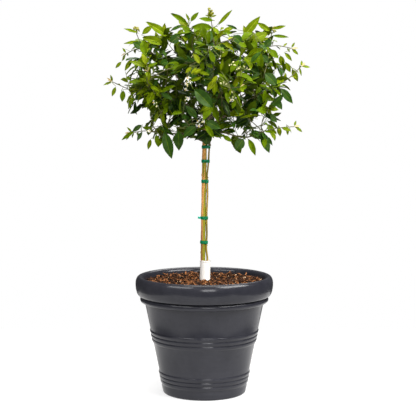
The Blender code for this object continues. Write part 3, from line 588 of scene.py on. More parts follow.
def chipTree():
    # Chips strewn over a surface, turned every way and tilted a little
    tree, given = startTree("strewChips", Shapes="Collection", Density="Float", Smallest="Float",
                            Largest="Float", Tilt="Float", Seed="Int", Finish="Material")
    tilt, seed = given["Tilt"], given["Seed"]
    places = addNode(tree, "GeometryNodeDistributePointsOnFaces", Mesh=given["Geometry"],
                     Density=given["Density"], Seed=seed)
    down = reckoned(tree, "MULTIPLY", tilt, -1.0)
    low = addNode(tree, "ShaderNodeCombineXYZ", X=down, Y=down, Z=0.0)
    high = addNode(tree, "ShaderNodeCombineXYZ", X=tilt, Y=tilt, Z=2 * math.pi)
    turn = addNode(tree, "FunctionNodeRandomValue", {"data_type": "FLOAT_VECTOR"}, n0=low.outputs[0],
                   n1=high.outputs[0], Seed=seed)
    size = addNode(tree, "FunctionNodeRandomValue", {"data_type": "FLOAT"}, n2=given["Smallest"],
                   n3=given["Largest"], Seed=reckoned(tree, "ADD", seed, 40.0))
    chips = placedShapes(tree, given["Shapes"], Points=places.outputs["Points"], Rotation=turn.outputs[0],
                         Scale=size.outputs[1])
    addNode(tree, "NodeGroupOutput", Geometry=painted(tree, chips, given["Finish"]))
    return tree


def makeMulch():
    rng = random.Random(4)
    radius, steps = mulch["radius"], mulch["bedSteps"]
    line = [(i / (steps - 1) * 2 - 1) * radius for i in range(steps)]
    points = [(x, y, mulchHeight(x, y) + 0.0012) for x in line for y in line]
    corners = [(i * steps + j, (i + 1) * steps + j, (i + 1) * steps + j + 1, i * steps + j + 1)
               for i in range(steps - 1) for j in range(steps - 1)]
    faces = [face for face in corners if all(math.hypot(*points[c][:2]) < radius - 0.004 for c in face)]
    surface = addMesh("mulchBed", points, faces, turnOut=False)
    area = sum(face.area for face in surface.data.polygons)
    tree = chipTree()
    for finish, count, smallest, largest, tilt, seed, kind in mulch["kinds"]:
        shapes = [chipShape("chip", *sizes, rng) for sizes in mulch["shapes"][kind]]
        piece = baked("mulch" + finish[4:], surface, tree, shapes, {
            "Density": count / area, "Smallest": smallest, "Largest": largest, "Tilt": math.radians(tilt),
            "Seed": seed, "Finish": finishes[finish]})
        setSharp(piece.data, 35)
        settle(piece, "soil")
        print(piece.name, len(piece.data.polygons), "faces")
    clearAway(surface)


makeSoil()
makeMulch()
print("mulch made")


# Limbs: the same lines and sizes as the solids, so that twigs and leaves grow where theirs do

soilLevel, gap = 0.416, 0.0003
trunk = {
    "line": ((-0.0030, 0.0, soilLevel + gap), (-0.0050, 0.0, 0.492), (-0.0038, 0.0, 0.612),
             (-0.0012, 0.0, 0.771), (0.0010, 0.0, 0.911), (0.0040, 0.001, 0.978), (0.0180, 0.003, 1.086),
             (0.0330, 0.0, 1.195)),
    "radius": 0.0086,
    "tipRadius": 0.0036,
    "crownFoot": 0.911,
    "flare": 0.0026,
    "flareHeight": 0.022,
    "footStep": 0.010,
    "scars": ((0.520, 2.6), (0.566, 5.1), (0.601, 0.9), (0.664, 3.9), (0.702, 1.9), (0.748, 5.6), (0.806, 3.2),
              (0.838, 0.4), (0.880, 4.5), (0.935, 2.2)),  # height and direction of each leaf scar
}
slim = {
    "line": ((0.0130, -0.002, soilLevel + gap), (0.0130, -0.002, 0.497), (0.0086, -0.003, 0.527),
             (0.0078, -0.003, 0.552), (0.0102, -0.003, 0.587), (0.0094, -0.003, 0.656), (0.0124, -0.003, 0.726),
             (0.0120, -0.003, 0.771), (0.0112, -0.003, 0.806), (0.0152, -0.003, 0.842), (0.0165, -0.003, 0.880),
             (0.0190, -0.003, 0.918)),
    "radii": (0.0034, 0.0028),
    # How far towards the trunk it is drawn, up to each height
    "hug": ((0.51, 0.0020), (0.86, 0.0009), (9.0, 0.0)),
    "grown": 1.12,  # share of the solid's thickness
    "scars": ((0.545, 5.9), (0.610, 3.5), (0.676, 3.3), (0.720, 3.6), (0.795, 0.3), (0.868, 5.4)),
}
masses = {  # azimuth, distance, height, height where its bough leaves the trunk, seed
    "top": (0, 0.030, 1.305, None, 11),
    "upper_right": (10, 0.215, 1.268, 1.085, 12),
    "upper_back": (98, 0.190, 1.255, 1.115, 13),
    "upper_left": (186, 0.205, 1.258, 1.070, 14),
    "upper_front": (276, 0.180, 1.250, 1.100, 15),
    "right": (346, 0.255, 1.125, 0.990, 16),
    "back_right": (45, 0.250, 1.120, 1.012, 37),
    "back_left": (105, 0.240, 1.115, 1.040, 18),
    "left": (168, 0.255, 1.112, 0.980, 19),
    "front_left": (226, 0.245, 1.110, 1.025, 20),
    "front_right": (285, 0.235, 1.105, 1.004, 21),
    "low_right": (332, 0.225, 0.972, None, 22),
    "low_back": (80, 0.190, 0.978, 0.955, 23),
    "low_left": (195, 0.200, 0.975, 0.935, 24),
    "low_front": (258, 0.170, 0.972, 0.945, 25),
}
foliage = ["foliage_" + name for name in masses]
bough = {
    "share": 0.56,
    "radii": (0.0046, 0.0029),
    "lead": 0.007,
    "rise": math.radians(28),
    "collar": (0.0022, 0.007),  # how thick, and how soon it fades
    "inside": 0.006,
}
crown = {
    "centre": np.array((0.004, 0.0, 1.132)),
    "half": np.array((0.330, 0.322, 0.250)),
    "power": 2.7,
    "waist": ((0.93, 1.20), (0.84, 1.0)),
    "margin": 0.0012,
    "limbRoom": 0.0035,
    "trunkRoom": 0.024,
    "twigRoom": 0.002,
    "rootRoom": 0.010,
}


def unit(vector):
    return vector / np.linalg.norm(vector)


def facing(turn, height, reach=1.0):
    return np.array((reach * math.cos(turn), reach * math.sin(turn), height))


def atAngle(along, across, angle):
    return along * math.cos(angle) + across * math.sin(angle)


def lengthsAlong(path):
    return np.concatenate([[0.0], np.cumsum(np.linalg.norm(np.diff(path, axis=0), axis=1))])


def smoothLine(points, spans):
    points = np.array(points, float)
    ends = np.vstack([2 * points[0] - points[1], points, 2 * points[-1] - points[-2]])
    line = [points[0]]
    for a, b, c, d in zip(ends, ends[1:], ends[2:], ends[3:]):
        for t in np.linspace(0, 1, spans + 1)[1:]:
            line.append(0.5 * (2 * b + (c - a) * t + (2 * a - 5 * b + 4 * c - d) * t**2
                               + (3 * b - a - 3 * c + d) * t**3))
    return np.array(line)


def bow(start, control, end, steps):
    t = np.linspace(0, 1, steps)[:, None]
    return (1 - t) ** 2 * start + 2 * t * (1 - t) * control + t**2 * end


class Limb:
    def __init__(self, path, radii):
        self.path = np.array(path, float)
        self.along = lengthsAlong(self.path)
        self.end = self.along[-1]
        if len(radii) == 2:
            radii = np.interp(self.along / self.end, (0, 1), radii)
        self.radii = np.array(radii, float)

    def at(self, distance):
        point = [np.interp(distance, self.along, self.path[:, k]) for k in range(3)]
        return np.array(point), float(np.interp(distance, self.along, self.radii))

    def distanceTo(self, height):
        return np.interp(height, self.path[:, 2], self.along)

    def atHeight(self, height):
        return self.at(self.distanceTo(height))

    def heading(self, distance, step=0.004):
        return unit(self.at(min(distance + step, self.end))[0] - self.at(max(distance - step, 0.0))[0])

    def samples(self, step=0.003):
        return [self.at(min(d, self.end)) for d in np.arange(0.0, self.end + step, step)]


def standingLine(points):
    path = smoothLine(points, 2)
    return np.vstack([path[:1], path[:1] + (0.0, 0.0, trunk["footStep"]), path[1:]])


def trunkLimb():
    path = standingLine(trunk["line"])
    height = path[:, 2]
    taper = np.interp(height, (trunk["crownFoot"], height[-1]), (trunk["radius"], trunk["tipRadius"]))
    return Limb(path, taper + trunk["flare"] * np.exp(-(height - height[0]) / trunk["flareHeight"]))


def massCentre(name):
    azimuth, distance, height = masses[name][:3]
    return facing(math.radians(azimuth), height, distance)


def boughLimb(name):
    centre = massCentre(name)
    leave = masses[name][3]
    if leave is None:
        root = slimStem.path[-1]
        way = heading = unit(root - slimStem.path[-2])
        start = root + heading * gap
        radii = (slim["radii"][1], bough["radii"][1] * 0.9)
    else:
        root, stemRadius = mainStem.atHeight(leave)
        axis = mainStem.heading(mainStem.distanceTo(leave))
        outward = unit((centre - root) * (1, 1, 0))
        heading = outward * math.cos(bough["rise"]) + np.array((0, 0, math.sin(bough["rise"])))
        way = unit(outward - axis * np.dot(outward, axis))
        start, radii = root + way * (stemRadius + gap), bough["radii"]
    end = root + (centre - root) * bough["share"]
    lead = start + way * bough["lead"]
    reach = np.linalg.norm(end - lead)
    return Limb(np.vstack([start, bow(lead, lead + heading * reach * 0.5, end, 4)]), radii)


mainStem = trunkLimb()
slimStem = Limb(standingLine(slim["line"]), slim["radii"])
boughs = {name: boughLimb(name) for name in masses if name != "top"}


def ringsAlong(path):
    # Two axes square to the path at each of its points, carried along without twisting
    headings = np.gradient(path, axis=0)
    headings /= np.linalg.norm(headings, axis=1)[:, None]
    side = np.cross(headings[0], (0.0, 1.0, 0.0))
    if np.linalg.norm(side) < 0.1:
        side = np.cross(headings[0], (1.0, 0.0, 0.0))
    axes = []
    for heading in headings:
        side = unit(side - heading * np.dot(side, heading))
        axes.append((side, np.cross(heading, side)))
    return axes


def refined(limb, step):
    # The limb's line drawn smooth, with a point every step
    line = smoothLine(limb.path, 8)
    along = lengthsAlong(line)
    places = np.linspace(0, along[-1], max(3, int(round(along[-1] / step)) + 1))
    path = np.column_stack([np.interp(places, along, line[:, k]) for k in range(3)])
    return path, np.interp(places / along[-1], limb.along / limb.end, limb.radii)


def rooted(path, radii, depth, spread=1.0):
    # The same line begun deeper, inside the limb that carries it
    inside = path[0] - unit(path[1] - path[0]) * depth
    return np.vstack([inside, path]), np.concatenate([radii[:1] * spread, radii])


def tubeShell(path, radii, sides, relief=None):
    # A closed tube, with the way out from its line at each point
    points, outs = [], []
    for (side, up), place, radius in zip(ringsAlong(path), path, radii):
        for turn in fullTurn(sides):
            out = atAngle(side, up, turn)
            points.append(place + out * (radius * (1 + (relief(place, out) if relief else 0.0))))
            outs.append(out)
    return points, ringFaces(len(path), sides) + endFaces(len(path), sides), outs


def barkRelief(depth, scars=()):
    # Long ridges, a few lumps, and a raised lip under each leaf scar
    def relief(place, out):
        x, y, z = place + out * 0.008
        ridges = noise.noise((x * 260, y * 260, z * 34)) * 0.55
        ridges += noise.noise((x * 520, y * 520, z * 90)) * 0.30
        lumps = noise.noise((x * 40, y * 40, z * 26 + 3.0)) * 0.8
        grown = depth * (ridges + lumps)
        for height, turn in scars:
            near = math.exp(-((place[2] - height) / 0.0042) ** 2)
            if near > 0.02:
                grown += 0.20 * near * max(0.0, atAngle(*out[:2], turn)) ** 3
        return grown
    return relief


def makeStem(name, limb, sides, relief, finish, slotName, node):
    points, faces, outs = tubeShell(*refined(limb, 0.0026), sides, relief)
    piece = addMesh(name, points, faces, (finish,), 70)
    setAttribute(piece, "around", "FLOAT_VECTOR", outs)
    settle(piece, slotName, node)


def makeSlimStem():
    # Drawn a little thicker than its solid and, low down, closer to the trunk
    line = [(x - next(step for top, step in slim["hug"] if z < top), y, z) for x, y, z in slim["line"]]
    limb = Limb(standingLine(line), [radius * slim["grown"] for radius in slim["radii"]])
    makeStem("slimBark", limb, 14, barkRelief(0.09, slim["scars"]), "slim", "slim_bark", "slim_stem")


def makeBoughs():
    # Each bough starts inside the trunk and has a collar where it leaves it
    shells = []
    for limb in boughs.values():
        path, radii = refined(limb, 0.004)
        thick, fade = bough["collar"]
        radii = radii + thick * np.exp(-np.linspace(0, limb.end, len(path)) / fade)
        shells.append(tubeShell(*rooted(path, radii, bough["inside"], 1.1), 12, barkRelief(0.10)))
    points, faces, _ = joined(shells)
    piece = addMesh("boughBark", points, faces, ("bough",), 70)
    settle(piece, "bough_bark", *["bough_" + name for name in boughs])


makeStem("trunkBark", mainStem, 28, barkRelief(0.085, trunk["scars"]), "trunk", "bark", "trunk")
makeSlimStem()
makeBoughs()
print("stems made:", len(boughs), "boughs")


# Sleeve round the foot of both stems, and the five ties above it

sleeve = {
    "centreX": 0.0024,
    "radius": 0.0192,
    "wall": 0.0016,
    "proud": 0.0006,
    "lip": 0.004,
    "height": 0.074,
    "lean": math.radians(1.2),
    "sides": 72,
    "rows": 16,
    "seam": (5.2, 0.05, 0.0004),  # direction, width and height
}


def makeSleeve():
    outer, height, seamTurn, seamWidth, seamHeight = sleeve["radius"], sleeve["height"], *sleeve["seam"]
    inside, edge, lipFoot = outer - sleeve["wall"], outer + sleeve["proud"], height - sleeve["lip"]
    profile = [(inside, 0.0)] + [(inside, h) for h in np.linspace(0.006, height - 0.0006, sleeve["rows"])]
    profile += [(inside + 0.0005, height), (edge - 0.0005, height), (edge, height - 0.0006)]
    profile += [(edge, lipFoot + 0.001), (outer, lipFoot)]
    profile += [(outer, h) for h in np.linspace(lipFoot - 0.004, 0.004, sleeve["rows"])] + [(outer, 0.0)]
    place = Vector((sleeve["centreX"], 0.0, soilLevel + gap + outer * math.sin(sleeve["lean"])))
    lean = Matrix.Rotation(sleeve["lean"], 3, "Y")
    points = []
    for radius, height in profile:
        for turn in fullTurn(sleeve["sides"]):
            r = radius + 0.00035 * noise.noise((math.cos(turn) * 1.6, math.sin(turn) * 1.6, height * 9))
            if radius > inside + 0.0006:
                r += seamHeight * math.exp(-((turn - seamTurn) / seamWidth) ** 2)
            points.append(lean @ Vector((r * math.cos(turn), r * math.sin(turn), height)) + place)
    faces = ringFaces(len(profile), sleeve["sides"], closed=True)
    settle(addMesh("trunkSleeve", points, faces, ("sleeve",), 55), "sleeve", "trunk_sleeve")


ties = {
    "rows": ((0.909, 0.0, 0.0), (0.8565, 0.0, 0.0), (0.783, 0.0, 0.0), (0.648, 0.0, 0.010),
             (0.5585, 5.0, 0.0)),  # height, tilt in degrees, length of a loose tail
    "width": 0.0118,
    "wall": 0.0009,
    "room": 0.0005,
    "steps": 26,
    "section": ((0.0, -0.5), (0.0, 0.0), (0.0, 0.5), (0.6, 0.48), (1.0, 0.34), (1.12, 0.0), (1.0, -0.34),
                (0.6, -0.48)),  # thickness and height, as shares
    "lap": 12,
    "tailSteps": 7,
}


def belt(first, firstRadius, second, secondRadius):
    # A line pulled tight round two circles
    across = np.array(second) - np.array(first)
    towards = math.atan2(across[1], across[0])
    lean = math.acos((firstRadius - secondRadius) / np.linalg.norm(across))
    ends = ((first, firstRadius, lean, 2 * math.pi - lean), (second, secondRadius, -lean, lean))
    return [(centre[0] + radius * math.cos(turn), centre[1] + radius * math.sin(turn))
            for centre, radius, start, end in ends
            for turn in np.linspace(towards + start, towards + end, ties["steps"])]


def strip(centres, outs, wall, width, closed=False, part=0):
    # A soft-edged strip along a line
    points = [centre + out * thick * wall + np.array((0.0, 0.0, wide * width))
              for centre, out in zip(centres, outs) for thick, wide in ties["section"]]
    rows, sides = len(centres), len(ties["section"])
    faces = ringFaces(rows, sides, closed=closed) + ([] if closed else endFaces(rows, sides))
    return points, faces, [part] * len(faces)


def makeTie(number, height, tilt, tail):
    wall, width, tilt = ties["wall"], ties["width"], math.radians(tilt)
    trunkAt, trunkRadius = mainStem.atHeight(height)
    slimAt, slimRadius = slimStem.atHeight(height)
    clear = ties["room"] + abs(math.sin(tilt)) * width / 2
    line = np.array(belt((0, 0), trunkRadius + clear, (slimAt - trunkAt)[:2], slimRadius + clear))
    outs = [unit(np.array((y, -x, 0.0))) for x, y in np.roll(line, -1, axis=0) - np.roll(line, 1, axis=0)]
    centres = [np.array((x, y, 0.0005 * noise.noise((x * 90, y * 90, number * 7.0)))) for x, y in line]
    # The free end laps over the front, a little proud and out of line
    start = int(len(line) * (0.20 + 0.07 * (number % 3)))
    lapOuts = outs[start:start + ties["lap"]]
    shift = (0.0, 0.0, 0.0010 * (1 if number % 2 else -1))
    lap = [centre + out * wall * 0.9 + shift for centre, out in zip(centres[start:], lapOuts)]
    shells = [strip(centres, outs, wall, width, True), strip(lap, lapOuts, wall * 0.8, width * 0.9)]
    if tail:
        root = min(centres, key=lambda place: place[0]) + (0.0012, -0.001, 0.0)
        path = [root + np.array((-tail * 1.25 * t, -0.002 * t, 0.0015 * t**2))
                for t in np.linspace(0, 1, ties["tailSteps"])]
        shells.append(strip(path, [np.array((0.0, -1.0, 0.0))] * len(path), wall, width * 0.66, part=1))
    points, faces, parts = joined(shells)
    turn, place = Matrix.Rotation(tilt, 3, "Y"), Vector((trunkAt[0], trunkAt[1], height))
    points = [turn @ Vector(point) + place for point in points]
    piece = addMesh(f"tie{number + 1}", points, faces, ("tie", "tail"), 50)
    piece.data.polygons.foreach_set("material_index", np.array(parts, np.int32))
    settle(piece, "tie", f"tie_{number + 1}")


makeSleeve()
for number, row in enumerate(ties["rows"]):
    makeTie(number, *row)
print("sleeve and ties made")


# Crown: the solids' own twigs by the same seeded rule, then finer side twigs and life-size leaves

twigRule = {
    "shoots": 9,
    "spacing": 0.066,
    "tries": 500,
    "stemRadius": 0.0029,
    "tipRadius": 0.0014,
    "share": 0.72,
    "long": 0.14,
    "reach": 0.24,
    "deepSkipped": 0.4,
}
placedShoots = {  # for each mass, the tips in millimetres and what each carries
    "top": (((24, -10, 1378), "spire"), ((-60, -20, 1338), "pair"), ((62, 10, 1322), "tall")),
    "upper_left": (((-245, -20, 1318), "cluster"), ((-150, -30, 1300), "tall"),
                   ((-285, 10, 1248), "spray"), ((-105, 10, 1205), "inner")),
    "upper_right": (((245, -10, 1318), "cluster"), ((160, 20, 1298), "tall"), ((318, 20, 1268), "spray"),
                    ((120, -10, 1208), "inner")),
    "upper_front": (((-75, -130, 1205), "inner"), ((85, -140, 1200), "inner")),
    "upper_back": (((60, 150, 1205), "inner"), ((-80, 140, 1200), "inner"), ((-30, 260, 1310), "cluster")),
    "right": (((350, -30, 1200), "spray"),),
    "left": (((-336, 20, 1146), "spray"),),
    "low_right": (((322, -85, 984), "spray"), ((215, -130, 950), "short")),
    "low_front": (((62, -150, 955), "short"), ((-85, -130, 955), "short")),
    "low_left": (((-150, -85, 948), "short"), ((-262, -50, 960), "spray")),
    "low_back": (((110, 190, 955), "hanging"),),
    "front_left": (((-190, -310, 1170), "spray"),),
    "front_right": (((120, -345, 1120), "spray"),),
    "back_right": (((235, 270, 1150), "spray"),),
    "back_left": (((-110, 345, 1140), "spray"),),
}
tipShapes = {  # leaves at a placed tip: forward, sideways, up, length, width share, tone
    "spire": ((0.3, 0.5, 0.8, 0.022, 0.42, 4), (0.3, -0.6, 0.8, 0.02, 0.42, 4),
              (0.2, 1.0, 0.3, 0.026, 0.36, 3), (0.1, -1.0, 0.2, 0.024, 0.36, 4),
              (0.6, 0.1, 0.9, 0.028, 0.34, 4)),
    "pair": ((0.3, 0.8, 0.6, 0.075, 0.36, 4), (0.2, -0.9, 0.6, 0.062, 0.38, 3),
             (0.9, 0.0, 0.3, 0.04, 0.34, 4)),
    "tall": ((0.6, 0.1, 0.3, 0.056, 0.34, 4), (0.4, -0.8, 0.1, 0.05, 0.42, 4),
             (0.3, 0.9, 0.0, 0.046, 0.42, 3)),
    "cluster": ((0.2, 0.6, 0.5, 0.022, 0.36, 4),),
    "spray": ((0.8, 0.2, -0.5, 0.036, 0.34, 3), (0.4, -0.2, 0.9, 0.026, 0.32, 3),
              (1.0, 0.0, 0.3, 0.026, 0.3, 6), (0.9, 0.5, 0.1, 0.02, 0.3, 6)),
    # The hanging and inner leaves take dark tones, partly painted shade for their place deep in the crown
    "hanging": ((0.4, 0.3, -1.0, 0.086, 0.42, 1), (0.3, -0.7, -0.8, 0.076, 0.42, 1)),
    "short": ((0.8, 0.3, -0.4, 0.044, 0.42, 2), (0.5, -0.7, -0.2, 0.04, 0.42, 1)),
    "inner": ((0.8, 0.4, 0.2, 0.092, 0.44, 1), (0.6, -0.7, 0.0, 0.085, 0.44, 2)),
}
fine = {
    "sideStep": 0.030,  # between the side twigs on a twig
    "sideLengths": (0.034, 0.075),
    "sideOpening": math.radians(52),
    "sideRadii": (0.00125, 0.00075),
    "sideTries": 4,
    "sideSwing": 1.4,
    "leafStep": 0.0150,
    "leafLengths": (0.035, 0.080),
    "leafWidths": (0.34, 0.46),
    "leafFloor": 0.936,
    "leafRoof": 1.342,
    "leafOpening": math.radians(56),
    "leafShares": ((0.94, 1.02, 1.12, 1.20, 1.27, 1.34), (0.84, 0.91, 0.94, 0.90, 0.84, 0.83)),
    "droop": ((0.93, 1.12, 1.30), (0.80, 0.28, -0.30)),  # height, how far the leaves hang
    "toneSteps": (0.10, 0.34, 0.58, 0.77, 0.93),
    "bay": 0.22,  # how far the leaves' outline swells and draws in
    "wildShare": 0.20,  # of twigs, whose leaves reach out of the crown's rounded form
    "bladeRoom": 0.0028,
    "bladeRows": (0.22, 0.4, 0.6, 0.8, 0.98),
    "tries": 8,
    "swing": 1.1,
    "turn": math.radians(137.5),
    "tipBudCount": 16,
    "tipBuds": {  # sideways and upward places of the buds over the tip
        "cluster": ((-0.011, 0.017), (0.013, 0.017)),
        "spire": tuple((0.0, 0.0018 * number) for number in range(16)),
    },
    "stemBud": 0.0034,
    "leafPieces": (("leavesLow", 0.0, 1.06), ("leavesMiddle", 1.06, 1.22), ("leavesHigh", 1.22, 9.0)),
    "blossomPoints": 15,  # that keep the leaves off a cluster
}


def distances(points, others):
    return np.linalg.norm(np.asarray(points)[:, None] - others[None], axis=2)


def inCrown(points, share=1.0):
    points = np.atleast_2d(points)
    offset = np.abs(points - crown["centre"]) / (crown["half"] * share)
    offset[:, :2] /= np.interp(points[:, 2], *crown["waist"])[:, None]
    return bool(((offset**crown["power"]).sum(axis=1) <= 1.0).all())


class Space:
    # The part of the crown that one mass keeps to
    def __init__(self, name, limbs):
        self.centre = massCentre(name)
        others = np.array([massCentre(other) for other in masses if other != name])
        self.planes = np.array([unit(other - self.centre) for other in others])
        self.limits = np.einsum("ij,ij->i", self.planes, (others + self.centre) / 2) - crown["margin"]
        samples = [sample for limb in limbs for sample in limb.samples()]
        self.limbPoints = np.array([point for point, _ in samples])
        self.limbRadii = np.array([radius for _, radius in samples])
        self.twigPoints, self.twigRadii = np.zeros((0, 3)), np.zeros(0)

    def addTwig(self, twig):
        samples = twig.samples()
        self.twigPoints = np.vstack([self.twigPoints] + [point for point, _ in samples])
        self.twigRadii = np.concatenate([self.twigRadii, [radius for _, radius in samples]])

    def owns(self, points, slack=0.0):
        return bool((np.atleast_2d(points) @ self.planes.T < self.limits - slack).all())

    def clearOfLimbs(self, points, slack):
        return bool((distances(points, self.limbPoints) > self.limbRadii + slack).all())

    def clearOfTwigs(self, points, root, slack):
        far = distances([root], self.twigPoints)[0] > crown["rootRoom"]
        return bool((distances(points, self.twigPoints[far]) > self.twigRadii[far] + slack).all())


def sideAxes(heading):
    heading = unit(heading)
    side = np.cross(heading, (0.0, 0.0, 1.0))
    side = np.array((1.0, 0.0, 0.0)) if np.linalg.norm(side) < 0.05 else unit(side)
    return side, np.cross(side, heading), heading


def nearestRoot(parents, target):
    found = []
    for parent in parents:
        for share in (0.35, 0.5, 0.65, 0.8, 0.97):
            distance = share * parent.end
            root, radius = parent.at(distance)
            heading = parent.heading(distance)
            away = np.linalg.norm(target - root)
            ahead = np.dot(heading, target - root) / away
            found.append((away * (1.6 - 0.6 * ahead), root, radius, heading))
    return min(found, key=lambda row: row[0])[1:]


def growTwig(space, parents, target, reaching):
    root, radius, heading = nearestRoot(parents, target)
    reach = np.linalg.norm(target - root)
    control = root + (heading * 0.7 + unit(target - root) * 0.6) * reach * 0.42
    steps = 4 if reach > twigRule["long"] else 3
    tip = twigRule["tipRadius"]
    twig = Limb(bow(root, control, target, steps), (max(radius * twigRule["share"], tip * 1.15), tip))
    line = bow(root, control, target, 14)[1:]
    if (space.owns(line, 0.003) and (reaching or inCrown(line))
            and space.clearOfLimbs(line, crown["limbRoom"] + 0.002)
            and space.clearOfTwigs(line, root, crown["twigRoom"])):
        return twig
    return None


def shootTargets(space, rng):
    targets = []
    reach = twigRule["reach"]
    for _ in range(twigRule["tries"]):
        place = space.centre + [rng.uniform(-reach, reach) for _ in range(3)]
        deep = inCrown(place, 0.55) and rng.random() < twigRule["deepSkipped"]
        nearTrunk = np.hypot(*(place[:2] - mainStem.path[0][:2])) < crown["trunkRoom"]
        if deep or nearTrunk or not inCrown(place, 0.88) or not space.owns(place, 0.012):
            continue
        if all(np.linalg.norm(place - other) > twigRule["spacing"] for other in targets):
            targets.append(place)
        if len(targets) == twigRule["shoots"]:
            break
    return targets


def growSkeleton(name):
    # The twigs of one mass, as its solid has them, each with what its tip carries
    rng = random.Random(masses[name][4])
    space = Space(name, [mainStem, slimStem, *boughs.values()])
    carrier = boughs.get(name, mainStem)
    tip, heading = carrier.path[-1], unit(carrier.path[-1] - carrier.path[-2])
    start = tip + heading * gap
    lead = start + heading * bough["lead"]
    heart = space.centre + unit(space.centre - crown["centre"]) * 0.01
    bend = lead + heading * np.linalg.norm(heart - lead) * 0.4
    stem = Limb(np.vstack([start, bow(lead, bend, heart, 4)]),
                (min(twigRule["stemRadius"], carrier.radii[-1]), twigRule["tipRadius"] * 1.5))
    space.addTwig(stem)
    twigs = [(stem, None)]
    wanted = [(np.array(place) / 1000, shape) for place, shape in placedShoots.get(name, ())]
    drawn = sorted(shootTargets(space, rng), key=lambda place: np.linalg.norm(place - start))
    for target, shape in wanted + [(place, None) for place in drawn]:
        twig = growTwig(space, [limb for limb, _ in twigs], target, bool(shape))
        if twig:
            space.addTwig(twig)
            twigs.append((twig, shape))
    return space, twigs


class Blades:
    # Every leaf so far, so that the next one keeps clear of those about it
    def __init__(self):
        self.middles, self.grids = np.zeros((0, 3)), np.zeros((0, 15, 3))

    def clear(self, grid, length):
        if not len(self.middles):
            return True
        near = np.linalg.norm(self.middles - grid.mean(axis=0), axis=1) < length / 2 + 0.055
        if not near.any():
            return True
        others = self.grids[near].reshape(-1, 3)
        return bool((distances(grid[2:], others) > fine["bladeRoom"] + length * 0.03).all())

    def add(self, grid):
        self.middles = np.vstack([self.middles, grid.mean(axis=0)])
        self.grids = np.concatenate([self.grids, grid[None]])


blades = Blades()
leafRows, blossomRows, budRows, budStalks = [], [], [], []


def bladeGrid(root, heading, across, normal, length, width):
    points = []
    for along in fine["bladeRows"]:
        half = width / 2 * math.sin(math.pi * along) ** 0.7 if along < 0.97 else 0.0
        drop = normal * -0.14 * length * along**2
        points += [root + heading * length * along + across * half * side + drop for side in (-1, 0, 1)]
    return np.array(points)


def outwardness(place):
    offset = np.abs(place - crown["centre"]) / crown["half"]
    return float(min(1.0, (offset**crown["power"]).sum() ** (1 / crown["power"])))


def sprayTone(place, rng):
    # Newest and yellowest at the top and outside, oldest and darkest low down and inside; the darkening inside
    # and low down is partly the leaves' own age and partly painted shade
    height = (place[2] - 0.92) / (1.36 - 0.92)
    ageAndShade = 0.29 + 0.28 * height + 0.95 * (outwardness(place) - 0.85) + rng.gauss(0.0, 0.16)
    return sum(ageAndShade > step for step in fine["toneSteps"])


def leafFacing(root, rng):
    outward = math.atan2(root[1] - crown["centre"][1], root[0] - crown["centre"][0])
    turn = outward + rng.choice((-1, 1)) * rng.uniform(math.radians(5), math.radians(100))
    return facing(turn, rng.uniform(0.2, 2.4))


def hasRoom(space, grid, length, root, reaching, wild):
    share = 1.0 if wild else float(np.interp(root[2], *fine["leafShares"]))
    share *= 1 + fine["bay"] * noise.noise(Vector(unit(root - crown["centre"]) * 3.2 + 5.0))
    return ((reaching or inCrown(grid, share)) and grid[:, 2].min() > fine["leafFloor"]
            and grid[:, 2].max() < fine["leafRoof"] and not inSkyGap(grid)
            and blades.clear(grid, length) and space.clearOfLimbs(grid, 0.002))


def addLeaf(space, root, heading, front, length, width, tone, rng, reaching=False, wild=False, force=False):
    heading = unit(heading)
    across = unit(np.cross(front, heading))
    normal = np.cross(heading, across)
    grid = bladeGrid(root, heading, across, normal, length, width)
    if not (force or hasRoom(space, grid, length, root, reaching, wild)):
        return False
    blades.add(grid)
    size = (length, width, length * rng.uniform(0.6, 1.5))
    leafRows.append((root, heading, normal, size, rng.randrange(len(leafOutline["kinds"])), tone))
    return True


def leafOn(space, twig, distance, turn, length, tone, rng, reaching, wild):
    root = twig.at(distance)[0]
    side, up, heading = sideAxes(twig.heading(distance))
    opening = fine["leafOpening"] if distance < twig.end - 0.002 else fine["leafOpening"] * 0.3
    front = leafFacing(root, rng)
    width = length * rng.uniform(*fine["leafWidths"]) * (0.85 if tone > 3 else 1.0)
    for attempt in range(fine["tries"]):
        way = unit(atAngle(heading, atAngle(side, up, turn + attempt * fine["swing"]), opening))
        way -= (0.0, 0.0, float(np.interp(root[2], *fine["droop"])))
        if addLeaf(space, root, way, front, length, width, tone, rng, reaching, wild):
            return


def leavesOn(space, twig, shape, rng, first=0.0):
    # A spray: leaves turned on from one another along a twig, all of one tone or nearly, the tone being their
    # age together with painted shade
    tone = sprayTone(twig.path[-1], rng)
    turn = rng.uniform(0, 2 * math.pi)
    wild = rng.random() < fine["wildShare"]
    places = [] if shape else [(twig.end, turn), (twig.end, turn + math.pi)]
    distance = first + fine["leafStep"] * rng.uniform(0.6, 1.2)
    last = twig.end - (0.045 if shape == "cluster" else fine["leafStep"] / 3)
    while distance < last:
        turn += fine["turn"]
        places.append((distance, turn))
        distance += fine["leafStep"] * rng.uniform(0.8, 1.25)
    for distance, turn in places:
        length = float(np.interp(rng.random() ** 1.3, (0, 1), fine["leafLengths"]))
        own = max(0, min(5, tone + rng.choice((-1, 0, 0, 0, 1))))
        if own >= 4:
            length *= 0.78
        if shape in ("spray", "spire") and twig.end - distance < 0.09:
            length *= 0.36 + 2.2 * (twig.end - distance)
            own = max(own, 3)
        leafOn(space, twig, distance, turn, length, own, rng, shape not in (None, "cluster"), wild)


def spreadOut(rng, reach):
    return np.array([rng.uniform(-reach, reach) for _ in range(3)])


